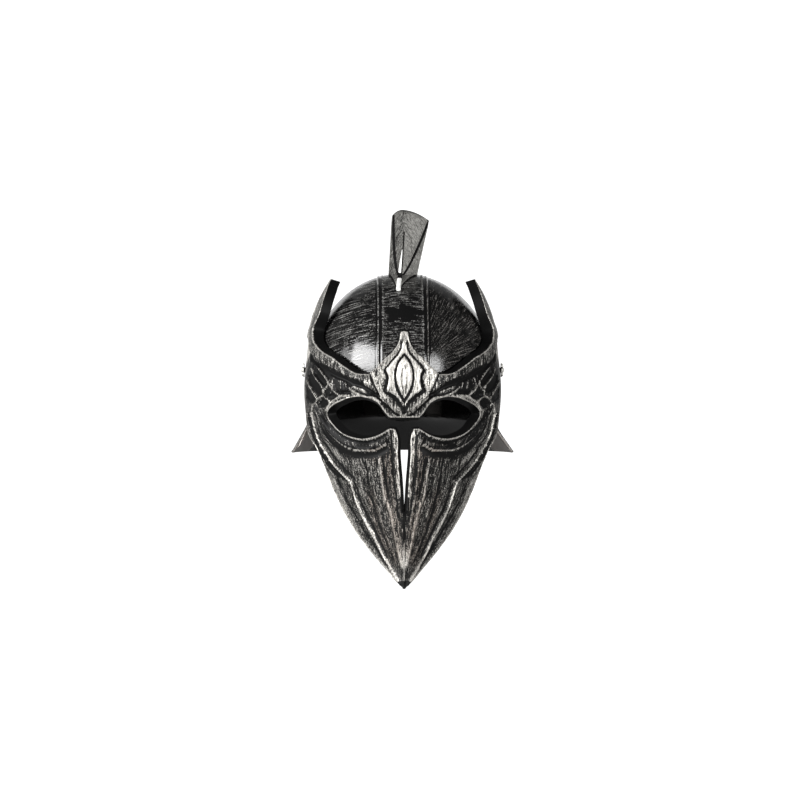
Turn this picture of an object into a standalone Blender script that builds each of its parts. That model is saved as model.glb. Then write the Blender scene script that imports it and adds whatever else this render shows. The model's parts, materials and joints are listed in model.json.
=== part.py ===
"""Gladiator helmet of moulded plastic: a skull shell with a crest, and a face mask on two temple rivets.

Frame in metres: +Z up, the face looks along -Y, +X is the viewer's right. The origin is the inner
crown point, where the helmet sits on a head. The face mask turns on the rivets' axis, along X.
"""
import math
from collections import namedtuple

import bmesh
import bpy
import numpy as np
from mathutils import Vector
from mathutils.geometry import delaunay_2d_cdt

# Skull shell, an ellipsoid dome with a flared skirt round the neck
SKULL_HALF_WIDTH = 0.087
SKULL_HALF_LENGTH = 0.117
SKULL_RISE = 0.0928
SKULL_WALL = 0.0022
SKIRT_DROP = 0.078
FLARE = 0.020
FLARE_START = 0.045
FLARE_CURVE = 1.6
FACE_RIM_DROP = 0.010
RIB_SPACING = 0.042
RIB_WIDTH = 0.0055
RIB_PROUD = 0.0014
RIB_ROOT = 0.001
RIB_STEPS = 34

# Face mask, lofted round the rivets' axis: its gaps to the skull shell at the temples and the brow
# give its width and depth
PIVOT_FORWARD = 0.010
MASK_WALL = 0.0025
TEMPLE_GAP = 0.0060
BROW_GAP = 0.0095
MASK_HALF_WIDTH = SKULL_HALF_WIDTH + TEMPLE_GAP + MASK_WALL
MASK_DEPTH = SKULL_HALF_LENGTH - PIVOT_FORWARD + BROW_GAP + MASK_WALL
MASK_DROP = 0.201
WING_RISE = 0.086
LIP_DEPTH = 0.009

# Crest on the crown
CREST_HEIGHT = 0.054
CREST_BASE_WIDTH = 0.027
CREST_TOP_WIDTH = 0.0345
CREST_TAIL_WIDTH = 0.026
CREST_GABLE = 0.0072
CREST_WALL = 0.0020
CREST_LEAN = math.radians(8.0)
KEEL_LEAN = math.radians(3.5)
TAIL_LEAN = math.radians(1.5)
KEEL_FOOT = -0.0022
CREST_FRONT = 0.23
CREST_BACK = math.radians(66)
CREST_TAPER = 0.45
CREST_TAPER_CURVE = 2.2
PROW_DEPTH = 0.009
CREST_STATIONS = 13
CREST_LEVELS = (0.0, 0.35, 0.7, 1.0)
TONGUE_WIDTH = 0.0045
TONGUE_HEIGHT = 0.0032
TONGUE_REACH = math.radians(25.0)
TONGUE_SLANT = math.radians(2.7)
TONGUE_STEPS = 12

# Prow of the crest: where its two creases stand, as a share of the half top width times a power of the
# level, and as a share of the prow's depth; where its heel stands on the dome, as a share of the half
# base width
CREASE_OUT = 0.97
CREASE_BOW = 0.58
CREASE_FORWARD = 0.45
HEEL_OUT = 0.55

# Temple rivets
RIVET_HEAD_RADIUS = 0.0067
RIVET_HEAD_HEIGHT = 0.0032
RIVET_SHANK_RADIUS = 0.0025
RIVET_TAIL_RADIUS = 0.0045
RIVET_TAIL_HEIGHT = 0.0014

# Clearance between pieces, and the size of the facets
FIT_GAP = 0.0003
FACET = 0.0095
EDGE_STEP = 0.0068
LINE_STEP = 0.0075
SLIVER = 1e-9
DOME_SIDES = 48
DOME_RINGS = 11
SKIRT_RINGS = 4
RIVET_SIDES = 16

EQUATOR = Vector((0.0, 0.0, SKULL_WALL - SKULL_RISE))
PIVOT = Vector((0.0, -PIVOT_FORWARD, EQUATOR.z))

# Mask sections. Level is a share of the wing rise above the axis and of the mask drop below it,
# width and depth are shares of the mask's, and power is the section's superellipse exponent.
Section = namedtuple("Section", "level width depth power")
MASK_SECTIONS = (
    Section(1.00, 0.722, 0.94, 2.00),
    Section(0.83, 0.815, 0.96, 2.00),
    Section(0.51, 0.914, 0.98, 2.00),
    Section(0.12, 0.962, 0.995, 2.00),
    Section(-0.10, 0.986, 1.005, 2.00),
    Section(-0.21, 0.970, 1.015, 1.95),
    Section(-0.27, 0.953, 1.025, 1.85),
    Section(-0.35, 0.921, 1.040, 1.70),
    Section(-0.42, 0.880, 1.040, 1.62),
    Section(-0.50, 0.838, 1.035, 1.50),
    Section(-0.62, 0.822, 1.025, 1.38),
    Section(-0.74, 0.827, 1.015, 1.27),
    Section(-0.84, 0.845, 1.008, 1.17),
    Section(-1.00, 0.880, 1.000, 1.10),
)

# Edges of the half mask. Side is the share of the half width seen from the front, or of the depth
# seen from the side, and lip is the return flange as a share of the lip depth.
Edge = namedtuple("Edge", "side level lip")
JAW_EDGE = (
    Edge(0.000, -1.000, 0.36),
    Edge(0.030, -0.984, 0.36),
    Edge(0.190, -0.907, 0.36),
    Edge(0.335, -0.830, 0.36),
    Edge(0.481, -0.739, 0.36),
    Edge(0.631, -0.615, 0.36),
    Edge(0.733, -0.501, 0.36),
    Edge(0.804, -0.415, 0.36),
    Edge(0.860, -0.358, 0.36),
)
TEMPLE_EDGE = (
    Edge(-0.04, -0.300, 0.36),
    Edge(0.17, -0.100, 0.36),
    Edge(0.22, 0.000, 0.36),
    Edge(0.19, 0.230, 0.36),
    Edge(0.09, 0.580, 0.40),
    Edge(-0.05, 1.000, 0.90),
)
WING_EDGE = (
    Edge(0.709, 1.000, 1.00),
    Edge(0.765, 0.823, 1.05),
    Edge(0.810, 0.646, 1.05),
    Edge(0.870, 0.430, 1.00),
    Edge(0.865, 0.330, 0.95),
    Edge(0.826, 0.247, 0.90),
    Edge(0.670, 0.117, 0.80),
    Edge(0.555, 0.018, 0.75),
    Edge(0.442, -0.023, 0.65),
    Edge(0.330, -0.027, 0.55),
    Edge(0.265, -0.002, 0.50),
    Edge(0.183, 0.094, 0.45),
    Edge(0.111, 0.167, 0.45),
    Edge(0.046, 0.290, 0.45),
    Edge(0.034, 0.384, 0.45),
    Edge(0.000, 0.390, 0.45),
)
EYE_AND_SLOT_EDGE = (
    Edge(0.000, -0.222, 0.45),
    Edge(0.141, -0.222, 0.45),
    Edge(0.180, -0.201, 0.50),
    Edge(0.251, -0.156, 0.60),
    Edge(0.379, -0.130, 0.70),
    Edge(0.491, -0.130, 0.80),
    Edge(0.620, -0.153, 0.90),
    Edge(0.725, -0.190, 0.95),
    Edge(0.742, -0.204, 0.95),
    Edge(0.704, -0.236, 0.90),
    Edge(0.622, -0.282, 0.80),
    Edge(0.508, -0.311, 0.70),
    Edge(0.379, -0.318, 0.60),
    Edge(0.235, -0.299, 0.50),
    Edge(0.141, -0.272, 0.45),
    Edge(0.090, -0.274, 0.45),
    Edge(0.074, -0.292, 0.45),
    Edge(0.062, -0.395, 0.45),
    Edge(0.040, -0.544, 0.45),
    Edge(0.030, -0.640, 0.45),
    Edge(0.000, -0.652, 0.45),
)

# Face opening of the skull shell in its side view, from the brow to the temple: forward is a share of
# the half length before the middle, and drop a share of the skirt's drop below the equator
Cut = namedtuple("Cut", "forward drop")
FACE_CUT = (
    Cut(0.68, FACE_RIM_DROP / SKIRT_DROP),
    Cut(0.50, 0.20),
    Cut(0.36, 0.38),
    Cut(0.24, 0.50),
    Cut(0.06, FLARE_START / SKIRT_DROP),
)

# A rivet's domed head, from its middle to its rim, as shares of the head's radius and height
Dome = namedtuple("Dome", "radius height")
RIVET_DOME = (Dome(0.00, 1.00), Dome(0.45, 0.92), Dome(0.85, 0.60), Dome(1.00, 0.25), Dome(1.00, 0.00))

# Cast relief, as seen from the front. Each point is a share of the half width and a level.
# A plateau is raised over its outline, and a ridge along its line.
Plateau = namedtuple("Plateau", "height slope outline")
Ridge = namedtuple("Ridge", "height half_width line")
PLATEAUS = (
    # Brow band and everything above its lower groove
    Plateau(0.0022, 0.0020, ((0.0, -0.21), (0.073, -0.204), (0.237, -0.128), (0.322, -0.121),
                             (0.442, -0.095), (0.555, -0.068), (0.686, -0.030), (0.813, 0.031),
                             (0.890, 0.179), (0.930, 0.260), (0.999, 0.260), (0.999, 2.0), (0.0, 2.0))),
    # Brow ornament
    Plateau(0.0018, 0.0015, ((0.0, -0.196), (0.060, -0.190), (0.225, -0.115), (0.330, 0.010),
                             (0.330, 2.0), (0.0, 2.0))),
    # Recess inside the ornament's frame
    Plateau(-0.0016, 0.0014, ((0.0, -0.185), (0.035, -0.160), (0.101, -0.121), (0.165, -0.103),
                              (0.150, -0.050), (0.160, -0.012), (0.067, 0.118), (0.024, 0.257), (0.0, 0.30))),
    # Pointed lens in the recess
    Plateau(0.0048, 0.0070, ((0.0, -0.149), (0.050, -0.105), (0.085, -0.034), (0.050, 0.055), (0.0, 0.139))),
)
RIDGES = (
    # Roll under the eye
    Ridge(0.0030, 0.0055, ((0.845, -0.180), (0.771, -0.265), (0.671, -0.310), (0.571, -0.340),
                           (0.450, -0.358), (0.340, -0.362), (0.231, -0.352), (0.165, -0.338))),
    # Edge of the cheek plate, and its run down the jaw
    Ridge(0.0022, 0.0026, ((0.890, -0.199), (0.803, -0.282), (0.724, -0.374), (0.625, -0.443),
                           (0.496, -0.524))),
    Ridge(0.0022, 0.0040, ((0.470, -0.548), (0.408, -0.624), (0.281, -0.736), (0.185, -0.825),
                           (0.070, -0.925))),
    # Crease down the cheek towards the keel
    Ridge(0.0016, 0.0036, ((0.227, -0.413), (0.189, -0.548), (0.120, -0.690), (0.040, -0.850))),
    # Feathers at the temple
    Ridge(0.0022, 0.0026, ((0.893, 0.150), (0.845, 0.050), (0.735, -0.062))),
    Ridge(0.0022, 0.0026, ((0.943, 0.060), (0.870, -0.030), (0.780, -0.094))),
    Ridge(0.0022, 0.0026, ((0.958, -0.020), (0.915, -0.070), (0.835, -0.132))),
    # Leaf over the eye
    Ridge(0.0020, 0.0030, ((0.640, -0.070), (0.520, -0.098), (0.404, -0.122))),
)
EYE_RIM_HEIGHT = 0.0013
EYE_RIM_WIDTH = 0.0032


def clear_scene():
    """Remove the objects and meshes that the file opens with."""
    for item in list(bpy.data.objects):
        bpy.data.objects.remove(item, do_unlink=True)
    for mesh in list(bpy.data.meshes):
        bpy.data.meshes.remove(mesh)


def new_collection(name):
    """Make a collection under the scene's own."""
    group = bpy.data.collections.new(name)
    bpy.context.scene.collection.children.link(group)
    return group


def new_object(name, points, faces, group):
    """Make a mesh object from points and faces, in a collection."""
    mesh = bpy.data.meshes.new(name)
    mesh.from_pydata([tuple(p) for p in points], [], [tuple(int(i) for i in f) for f in faces])
    mesh.validate()
    item = bpy.data.objects.new(name, mesh)
    group.objects.link(item)
    return item


def face_outwards(item):
    """Turn a closed or half-open mesh's faces outwards."""
    work = bmesh.new()
    work.from_mesh(item.data)
    bmesh.ops.recalc_face_normals(work, faces=work.faces)
    work.to_mesh(item.data)
    work.free()


def plastic(name, colour, roughness, metallic):
    """Painted plastic: one Principled BSDF."""
    material = bpy.data.materials.new(name)
    material.use_nodes = True
    shader = material.node_tree.nodes["Principled BSDF"]
    shader.inputs["Base Color"].default_value = (*colour, 1.0)
    shader.inputs["Roughness"].default_value = roughness
    shader.inputs["Metallic"].default_value = metallic
    return material


def as_cutter(item):
    """Mark an object as a tool that isn't part of the helmet."""
    item.hide_render = True
    item.display_type = "WIRE"


def boolean(item, tool, operation):
    """Add an exact Boolean modifier."""
    modifier = item.modifiers.new(operation.lower(), "BOOLEAN")
    modifier.operation = operation
    modifier.object = tool
    modifier.solver = "EXACT"


def smooth_table(at, keys, values):
    """Cubic curve through a table's values, with the slope of each key's neighbours."""
    keys = np.asarray(keys, float)
    values = np.asarray(values, float)
    slopes = np.gradient(values, keys)
    at = np.clip(at, keys[0], keys[-1])
    i = np.clip(np.searchsorted(keys, at, side="right") - 1, 0, len(keys) - 2)
    span = keys[i + 1] - keys[i]
    t = (at - keys[i]) / span
    return ((2 * t**3 - 3 * t**2 + 1) * values[i] + (t**3 - 2 * t**2 + t) * span * slopes[i]
            + (3 * t**2 - 2 * t**3) * values[i + 1] + (t**3 - t**2) * span * slopes[i + 1])


def height_of(level):
    """Height over the rivets' axis at a level of the tables."""
    level = np.asarray(level, float)
    return np.where(level > 0, level * WING_RISE, level * MASK_DROP)


SECTION_HEIGHTS = [float(height_of(s.level)) for s in reversed(MASK_SECTIONS)]


def mask_section(z):
    """Half width, depth and power of the mask's section at height z over the axis."""
    rows = list(reversed(MASK_SECTIONS))
    width = smooth_table(z, SECTION_HEIGHTS, [s.width for s in rows]) * MASK_HALF_WIDTH
    depth = smooth_table(z, SECTION_HEIGHTS, [s.depth for s in rows]) * MASK_DEPTH
    power = smooth_table(z, SECTION_HEIGHTS, [s.power for s in rows])
    return width, depth, power


def mask_point(arc, z):
    """Base surface of the mask: arc runs round from the front, in metres at the mask's depth."""
    turn = np.asarray(arc, float) / MASK_DEPTH
    width, depth, power = mask_section(z)
    side = np.abs(np.sin(turn)) / width
    front = np.abs(np.cos(turn)) / depth
    radius = (side**power + front**power) ** (-1.0 / power)
    return np.stack([radius * np.sin(turn), -radius * np.cos(turn), np.broadcast_to(z, radius.shape)], -1)


def mask_normal(arc, z):
    """Outward normal of the base surface, from small steps along it."""
    step = 1e-5
    along = mask_point(arc + step, z) - mask_point(arc - step, z)
    up = mask_point(arc, z + step) - mask_point(arc, z - step)
    normal = np.cross(along, up)
    return normal / np.linalg.norm(normal, axis=-1, keepdims=True)


def arc_from_front(x, z):
    """Arc of the surface point that the front view shows at x and z."""
    width, depth, power = mask_section(z)
    share = np.clip(np.abs(x) / width, 0.0, 1.0)
    y = -depth * (1.0 - share**power) ** (1.0 / power)
    return np.arctan2(x, -y) * MASK_DEPTH


def arc_from_side(y, z):
    """Arc of the surface point that the side view shows at y and z."""
    width, depth, power = mask_section(z)
    x = width * (1.0 - (np.abs(y) / depth) ** power) ** (1.0 / power)
    return np.arctan2(x, -y) * MASK_DEPTH


def front_line(rows):
    """Points of a front-view table in the mask's own plane of arc and height."""
    table = np.array([row[:2] for row in rows], float)
    z = height_of(table[:, 1])
    return np.stack([arc_from_front(table[:, 0] * MASK_HALF_WIDTH, z), z], -1)


def side_line(rows):
    """Points of a side-view table in the mask's own plane of arc and height."""
    table = np.array([row[:2] for row in rows], float)
    z = height_of(table[:, 1])
    return np.stack([arc_from_side(table[:, 0] * MASK_DEPTH, z), z], -1)


def resample(points, values, step):
    """Even points about a step apart along each straight run of a line, with its values."""
    out = []
    carried = []
    for i in range(len(points) - 1):
        length = np.linalg.norm(points[i + 1] - points[i])
        count = max(1, int(round(length / step)))
        for k in range(count):
            t = k / count
            out.append(points[i] * (1 - t) + points[i + 1] * t)
            carried.append(values[i] * (1 - t) + values[i + 1] * t)
    out.append(points[-1])
    carried.append(values[-1])
    return np.array(out), np.array(carried)


def distance_to_line(points, line):
    """Distance from each point to a polyline."""
    a = line[:-1][None]
    b = line[1:][None]
    p = points[:, None]
    along = b - a
    t = np.clip(((p - a) * along).sum(-1) / np.maximum((along**2).sum(-1), 1e-16), 0.0, 1.0)
    return np.linalg.norm(p - (a + along * t[..., None]), axis=-1).min(1)


def inside(points, outline):
    """True for each point inside a closed outline, by counting crossings."""
    x, y = points[:, 0][:, None], points[:, 1][:, None]
    x0, y0 = outline[:, 0][None], outline[:, 1][None]
    x1, y1 = np.roll(x0, -1), np.roll(y0, -1)
    crosses = (y0 > y) != (y1 > y)
    span = np.where(y1 == y0, 1.0, y1 - y0)
    return (crosses & (x < (x1 - x0) * (y - y0) / span + x0)).sum(1) % 2 == 1


def inward_line(line, closed_side):
    """The line moved by the wall to the mask's side of an edge, with its ends kept on the seam."""
    ahead = np.gradient(line, axis=0)
    ahead /= np.linalg.norm(ahead, axis=1, keepdims=True)
    across = np.stack([-ahead[:, 1], ahead[:, 0]], -1) * closed_side
    moved = line + across * MASK_WALL
    for end in (0, -1):
        slide = -MASK_WALL * across[end, 0] / ahead[end, 0]
        moved[end] = (0.0, line[end, 1] + MASK_WALL * across[end, 1] + slide * ahead[end, 1])
    return moved


def plateau_outline(outline):
    """A plateau's outline in the mask's plane, with its mirror image across the seam."""
    table = np.array(outline, float)
    z = np.where(table[:, 1] > 1.0, WING_RISE * table[:, 1], height_of(table[:, 1]))
    half = np.stack([arc_from_front(table[:, 0] * MASK_HALF_WIDTH, z), z], -1)
    outer = half[:, 0] > 0.998 * arc_from_front(MASK_HALF_WIDTH, 0.0)
    half[outer, 0] *= 2.0
    mirrored = half[::-1] * (-1, 1)
    return np.vstack([half, mirrored])


def relief_height(plane, eye_line):
    """Height of the cast relief over the base surface: plateaus add up, and the tallest ridge counts."""
    total = np.zeros(len(plane))
    for item in PLATEAUS:
        outline = plateau_outline(item.outline)
        depth = distance_to_line(plane, np.vstack([outline, outline[:1]]))
        total += item.height * np.clip(depth / item.slope, 0.0, 1.0) * inside(plane, outline)
    tallest = EYE_RIM_HEIGHT * np.clip(1.0 - distance_to_line(plane, eye_line) / EYE_RIM_WIDTH, 0.0, 1.0)
    for item in RIDGES:
        away = distance_to_line(plane, front_line(item.line))
        tallest = np.maximum(tallest, item.height * np.clip(1.0 - away / item.half_width, 0.0, 1.0))
    return total + tallest


def crease_lines(eye_line):
    """Lines that the facets must follow: each ridge's top and feet, and each plateau's edge and foot."""
    lines = []
    for item in RIDGES:
        line = front_line(item.line)
        ahead = np.gradient(line, axis=0)
        across = np.stack([-ahead[:, 1], ahead[:, 0]], -1) / np.linalg.norm(ahead, axis=1, keepdims=True)
        lines += [line + across * item.half_width * k for k in (-1.0, 0.0, 1.0)]
    for item in PLATEAUS:
        outline = plateau_outline(item.outline)
        half = outline[: len(item.outline)]
        ahead = np.gradient(outline, axis=0)[: len(item.outline)]
        across = np.stack([-ahead[:, 1], ahead[:, 0]], -1) / np.linalg.norm(ahead, axis=1, keepdims=True)
        lines += [half, half + across * item.slope]
    ahead = np.gradient(eye_line, axis=0)
    across = np.stack([ahead[:, 1], -ahead[:, 0]], -1) / np.linalg.norm(ahead, axis=1, keepdims=True)
    lines.append(eye_line + across * EYE_RIM_WIDTH)
    return lines


def triangulate(chains, lines, outline, spacing):
    """Triangles over an outline: chains are kept point for point, and lines where they fit inside."""
    points = np.vstack(chains)
    edges = []
    start = 0
    for chain in chains:
        edges += [(start + i, start + i + 1) for i in range(len(chain) - 1)]
        start += len(chain)
    border = np.vstack([outline, outline[:1]])
    for line in lines:
        fine, _ = resample(line, np.zeros(len(line)), LINE_STEP)
        clear = np.minimum.reduce([distance_to_line(fine, chain) for chain in chains])
        keep = inside(fine, outline) & (clear > 0.0009)
        for i, point in enumerate(fine):
            if not keep[i]:
                continue
            if i and keep[i - 1]:
                edges.append((len(points) - 1, len(points)))
            points = np.vstack([points, point])
    low, high = outline.min(0), outline.max(0)
    row = spacing * math.sqrt(3) / 2
    fill = []
    for j in range(int((high[1] - low[1]) / row) + 1):
        xs = np.arange(low[0] + spacing * (0.25 + 0.5 * (j % 2)), high[0], spacing)
        fill.append(np.stack([xs, np.full(len(xs), low[1] + j * row)], -1))
    fill = np.vstack(fill)
    fill = fill[inside(fill, outline) & (distance_to_line(fill, border) > 0.35 * spacing)]
    near = np.linalg.norm(fill[:, None] - points[None], axis=-1).min(1)
    points = np.vstack([points, fill[near > 0.45 * spacing]])
    result = delaunay_2d_cdt([Vector(p) for p in points * 1000.0], edges, [], 0, 1e-4)
    flat = np.array([tuple(p) for p in result[0]]) / 1000.0
    faces = np.array([f for f in result[2] if len(f) == 3])
    one, two = flat[faces[:, 1]] - flat[faces[:, 0]], flat[faces[:, 2]] - flat[faces[:, 0]]
    solid = np.abs(one[:, 0] * two[:, 1] - one[:, 1] * two[:, 0]) > SLIVER
    faces = faces[solid & inside(flat[faces].mean(1), outline)]
    index_of = {}
    for new, sources in enumerate(result[3]):
        for source in sources:
            index_of[source] = new
    return flat, faces, [index_of[i] for i in range(sum(len(c) for c in chains))]


def mask_half():
    """Points and faces of the half mask: outer face with its relief, plain inner face, and lips between."""
    rear = np.vstack([front_line(JAW_EDGE), side_line(TEMPLE_EDGE)])
    rim_rows = JAW_EDGE + TEMPLE_EDGE + WING_EDGE
    rim, rim_lip = resample(np.vstack([rear, front_line(WING_EDGE)]),
                            np.array([r.lip for r in rim_rows]), EDGE_STEP)
    eye, eye_lip = resample(front_line(EYE_AND_SLOT_EDGE), np.array([r.lip for r in EYE_AND_SLOT_EDGE]),
                            EDGE_STEP)
    rim_in = inward_line(rim, 1.0)
    eye_in = inward_line(eye, -1.0)

    def seam(upper, lower):
        count = max(1, int((upper - lower) / FACET))
        return np.stack([np.zeros(count + 1), np.linspace(upper, lower, count + 1)], -1)[1:-1]

    def closed(rim_line, eye_line):
        return np.vstack([rim_line, seam(rim_line[-1, 1], eye_line[0, 1]), eye_line,
                          seam(eye_line[-1, 1], rim_line[0, 1])])

    outer_outline = closed(rim, eye)
    inner_outline = closed(rim_in, eye_in)
    seams = [seam(rim_in[-1, 1], eye_in[0, 1]), seam(eye_in[-1, 1], rim_in[0, 1])]
    outer_seams = [np.vstack([rim[-1], rim_in[-1], seams[0], eye_in[0], eye[0]]),
                   np.vstack([eye[-1], eye_in[-1], seams[1], rim_in[0], rim[0]])]
    flat, faces, index = triangulate([rim, eye, rim_in, eye_in, *outer_seams], crease_lines(eye),
                                     outer_outline, FACET)
    inner_seams = [np.vstack([rim_in[-1], seams[0], eye_in[0]]), np.vstack([eye_in[-1], seams[1], rim_in[0]])]
    flat_in, faces_in, index_in = triangulate([rim_in, eye_in, *inner_seams], [], inner_outline, FACET * 1.3)

    def lifted(plane, height):
        points = mask_point(plane[:, 0], plane[:, 1])
        points = points + mask_normal(plane[:, 0], plane[:, 1]) * np.asarray(height)[:, None]
        points[np.abs(plane[:, 0]) < 1e-7, 0] = 0.0
        return points

    outer = lifted(flat, relief_height(flat, eye))
    inner = lifted(flat_in, np.full(len(flat_in), -MASK_WALL))
    edge = np.vstack([rim, eye])
    edge_in = np.vstack([rim_in, eye_in])
    depth = np.concatenate([rim_lip, eye_lip]) * LIP_DEPTH
    lip_front = lifted(edge, -depth)
    lip_back = lifted(edge_in, -depth)
    points = np.vstack([outer, inner, lip_front, lip_back])
    at_inner = len(outer)
    at_front = at_inner + len(inner)
    at_back = at_front + len(edge)
    all_faces = [tuple(f) for f in faces] + [tuple(f[::-1] + at_inner) for f in faces_in]
    runs = [range(len(rim) - 1), range(len(rim), len(edge) - 1)]
    for run in runs:
        for i in run:
            front, back = at_front + i, at_back + i
            all_faces.append((index[i], index[i + 1], front + 1, front))
            all_faces.append((front, front + 1, back + 1, back))
            all_faces.append((back, back + 1, at_inner + index_in[i + 1], at_inner + index_in[i]))
    return points, all_faces


def make_face_mask(group, cutters):
    """The face mask: a mirrored half shell with a hole at each temple for the rivet's shank."""
    points, faces = mask_half()
    mask = new_object("face_mask", points, faces, group)
    mask.location = PIVOT
    face_outwards(mask)
    mirror = mask.modifiers.new("mirror", "MIRROR")
    mirror.use_axis[0] = True
    mirror.merge_threshold = 0.00001
    boolean(mask, make_shank_cutter("mask_rivet_holes", cutters), "DIFFERENCE")
    mask.data.materials.append(plastic("mask_paint", (0.20, 0.20, 0.21), 0.38, 0.7))
    return mask


def make_shank_cutter(name, cutters):
    """A rod through both temples, wider than the rivets' shanks by the clearance."""
    bpy.ops.mesh.primitive_cylinder_add(vertices=16, radius=RIVET_SHANK_RADIUS + FIT_GAP,
                                        depth=MASK_HALF_WIDTH * 3, location=PIVOT,
                                        rotation=(0.0, math.pi / 2, 0.0))
    rod = bpy.context.object
    rod.name = name
    move_to(rod, cutters)
    as_cutter(rod)
    return rod


def move_to(item, group):
    """Move an object that an operator made into a collection."""
    for owner in list(item.users_collection):
        owner.objects.unlink(item)
    group.objects.link(item)


def flare_at(drop):
    """How far the skirt stands out at a drop below the equator."""
    share = max(0.0, (drop - FLARE_START) / (SKIRT_DROP - FLARE_START))
    return FLARE * share**FLARE_CURVE


def dome_point(side, turn, proud=0.0):
    """Point and normal of the shell at x = side, with turn from the top to the back: straight down past
    the equator."""
    shrink = math.sqrt(1.0 - (side / SKULL_HALF_WIDTH) ** 2)
    bend = max(-math.pi / 2, min(math.pi / 2, turn))
    point = Vector((side, SKULL_HALF_LENGTH * shrink * math.sin(bend), SKULL_RISE * shrink * math.cos(bend)))
    normal = Vector((point.x / SKULL_HALF_WIDTH**2, point.y / SKULL_HALF_LENGTH**2, point.z / SKULL_RISE**2))
    normal.normalize()
    point.z -= SKULL_RISE * abs(turn - bend)
    return point + normal * proud, normal


def make_skull_shell(group, cutters):
    """The skull shell: a half ellipsoid and a flared skirt, walled inwards, with the face cut out."""
    around = DOME_SIDES
    profile = []
    for i in range(1, DOME_RINGS + 1):
        turn = 0.5 * math.pi * i / DOME_RINGS
        profile.append((math.sin(turn), 0.0, SKULL_RISE * math.cos(turn)))
    for i in range(-1, SKIRT_RINGS + 1):
        drop = FLARE_START / 2 if i < 0 else FLARE_START + (SKIRT_DROP - FLARE_START) * i / SKIRT_RINGS
        profile.append((1.0, flare_at(drop), -drop))
    points = [(0.0, 0.0, SKULL_RISE)]
    for share, out, z in profile:
        for k in range(around):
            a = 2 * math.pi * k / around
            points.append((math.cos(a) * (SKULL_HALF_WIDTH * share + out),
                           math.sin(a) * (SKULL_HALF_LENGTH * share + out), z))
    faces = [(0, 1 + k, 1 + (k + 1) % around) for k in range(around)]
    for i in range(len(profile) - 1):
        for k in range(around):
            a, b = 1 + i * around + k, 1 + i * around + (k + 1) % around
            faces.append((a, a + around, b + around, b))
    skull = new_object("skull_shell", points, faces, group)
    skull.location = EQUATOR
    wall = skull.modifiers.new("wall", "SOLIDIFY")
    wall.thickness = SKULL_WALL
    wall.offset = -1.0
    wall.use_even_offset = True
    for side in (-1, 1):
        boolean(skull, make_rib(side, cutters), "UNION")
    boolean(skull, make_face_cutter(cutters), "DIFFERENCE")
    boolean(skull, make_shank_cutter("skull_rivet_holes", cutters), "DIFFERENCE")
    skull.data.materials.append(plastic("skull_paint", (0.10, 0.10, 0.105), 0.30, 0.6))
    return skull


def make_rib(side, cutters):
    """A raised strip along the dome from brow to nape, sunk into the wall by less than its thickness."""
    x = side * RIB_SPACING / 2
    brow = -math.pi / 2 - 2.0 * FACE_RIM_DROP / SKULL_RISE
    nape = math.pi / 2 + FLARE_START / SKULL_RISE
    turns = [brow + (nape - brow) * i / RIB_STEPS for i in range(RIB_STEPS + 1)]
    points = []
    for edge in (-0.5, 0.5):
        for proud in (-RIB_ROOT, RIB_PROUD):
            points += [dome_point(x + edge * RIB_WIDTH, turn, proud)[0] for turn in turns]
    n = len(turns)
    faces = []
    for a, b in ((0, 1), (1, 3), (3, 2), (2, 0)):
        faces += [(a * n + i, a * n + i + 1, b * n + i + 1, b * n + i) for i in range(n - 1)]
    faces += [(0, n, 3 * n, 2 * n), (n - 1, 3 * n - 1, 4 * n - 1, 2 * n - 1)]
    rib = new_object("rib_left" if side < 0 else "rib_right", points, faces, cutters)
    rib.location = EQUATOR
    face_outwards(rib)
    as_cutter(rib)
    return rib


def make_face_cutter(cutters):
    """A block across the helmet whose side view is the face opening of the skull shell."""
    front = -2.0 * SKULL_HALF_LENGTH
    floor = -2.0 * SKIRT_DROP
    outline = [(-cut.forward * SKULL_HALF_LENGTH, -cut.drop * SKIRT_DROP) for cut in FACE_CUT]
    outline = [(front, outline[0][1])] + outline + [(outline[-1][0], floor), (front, floor)]
    reach = SKULL_HALF_WIDTH * 2
    points = [(x, y, z) for x in (-reach, reach) for y, z in outline]
    n = len(outline)
    faces = [tuple(range(n)), tuple(range(2 * n - 1, n - 1, -1))]
    faces += [(i, n + i, n + (i + 1) % n, (i + 1) % n) for i in range(n)]
    block = new_object("face_opening", points, faces, cutters)
    block.location = EQUATOR
    face_outwards(block)
    as_cutter(block)
    return block


def crest_height(turn, first, last):
    """Height of the crest over the dome: full over the front, lower towards the nape."""
    share = (turn - first) / (last - first)
    return CREST_HEIGHT * (1.0 - CREST_TAPER * max(0.0, share) ** CREST_TAPER_CURVE)


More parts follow.
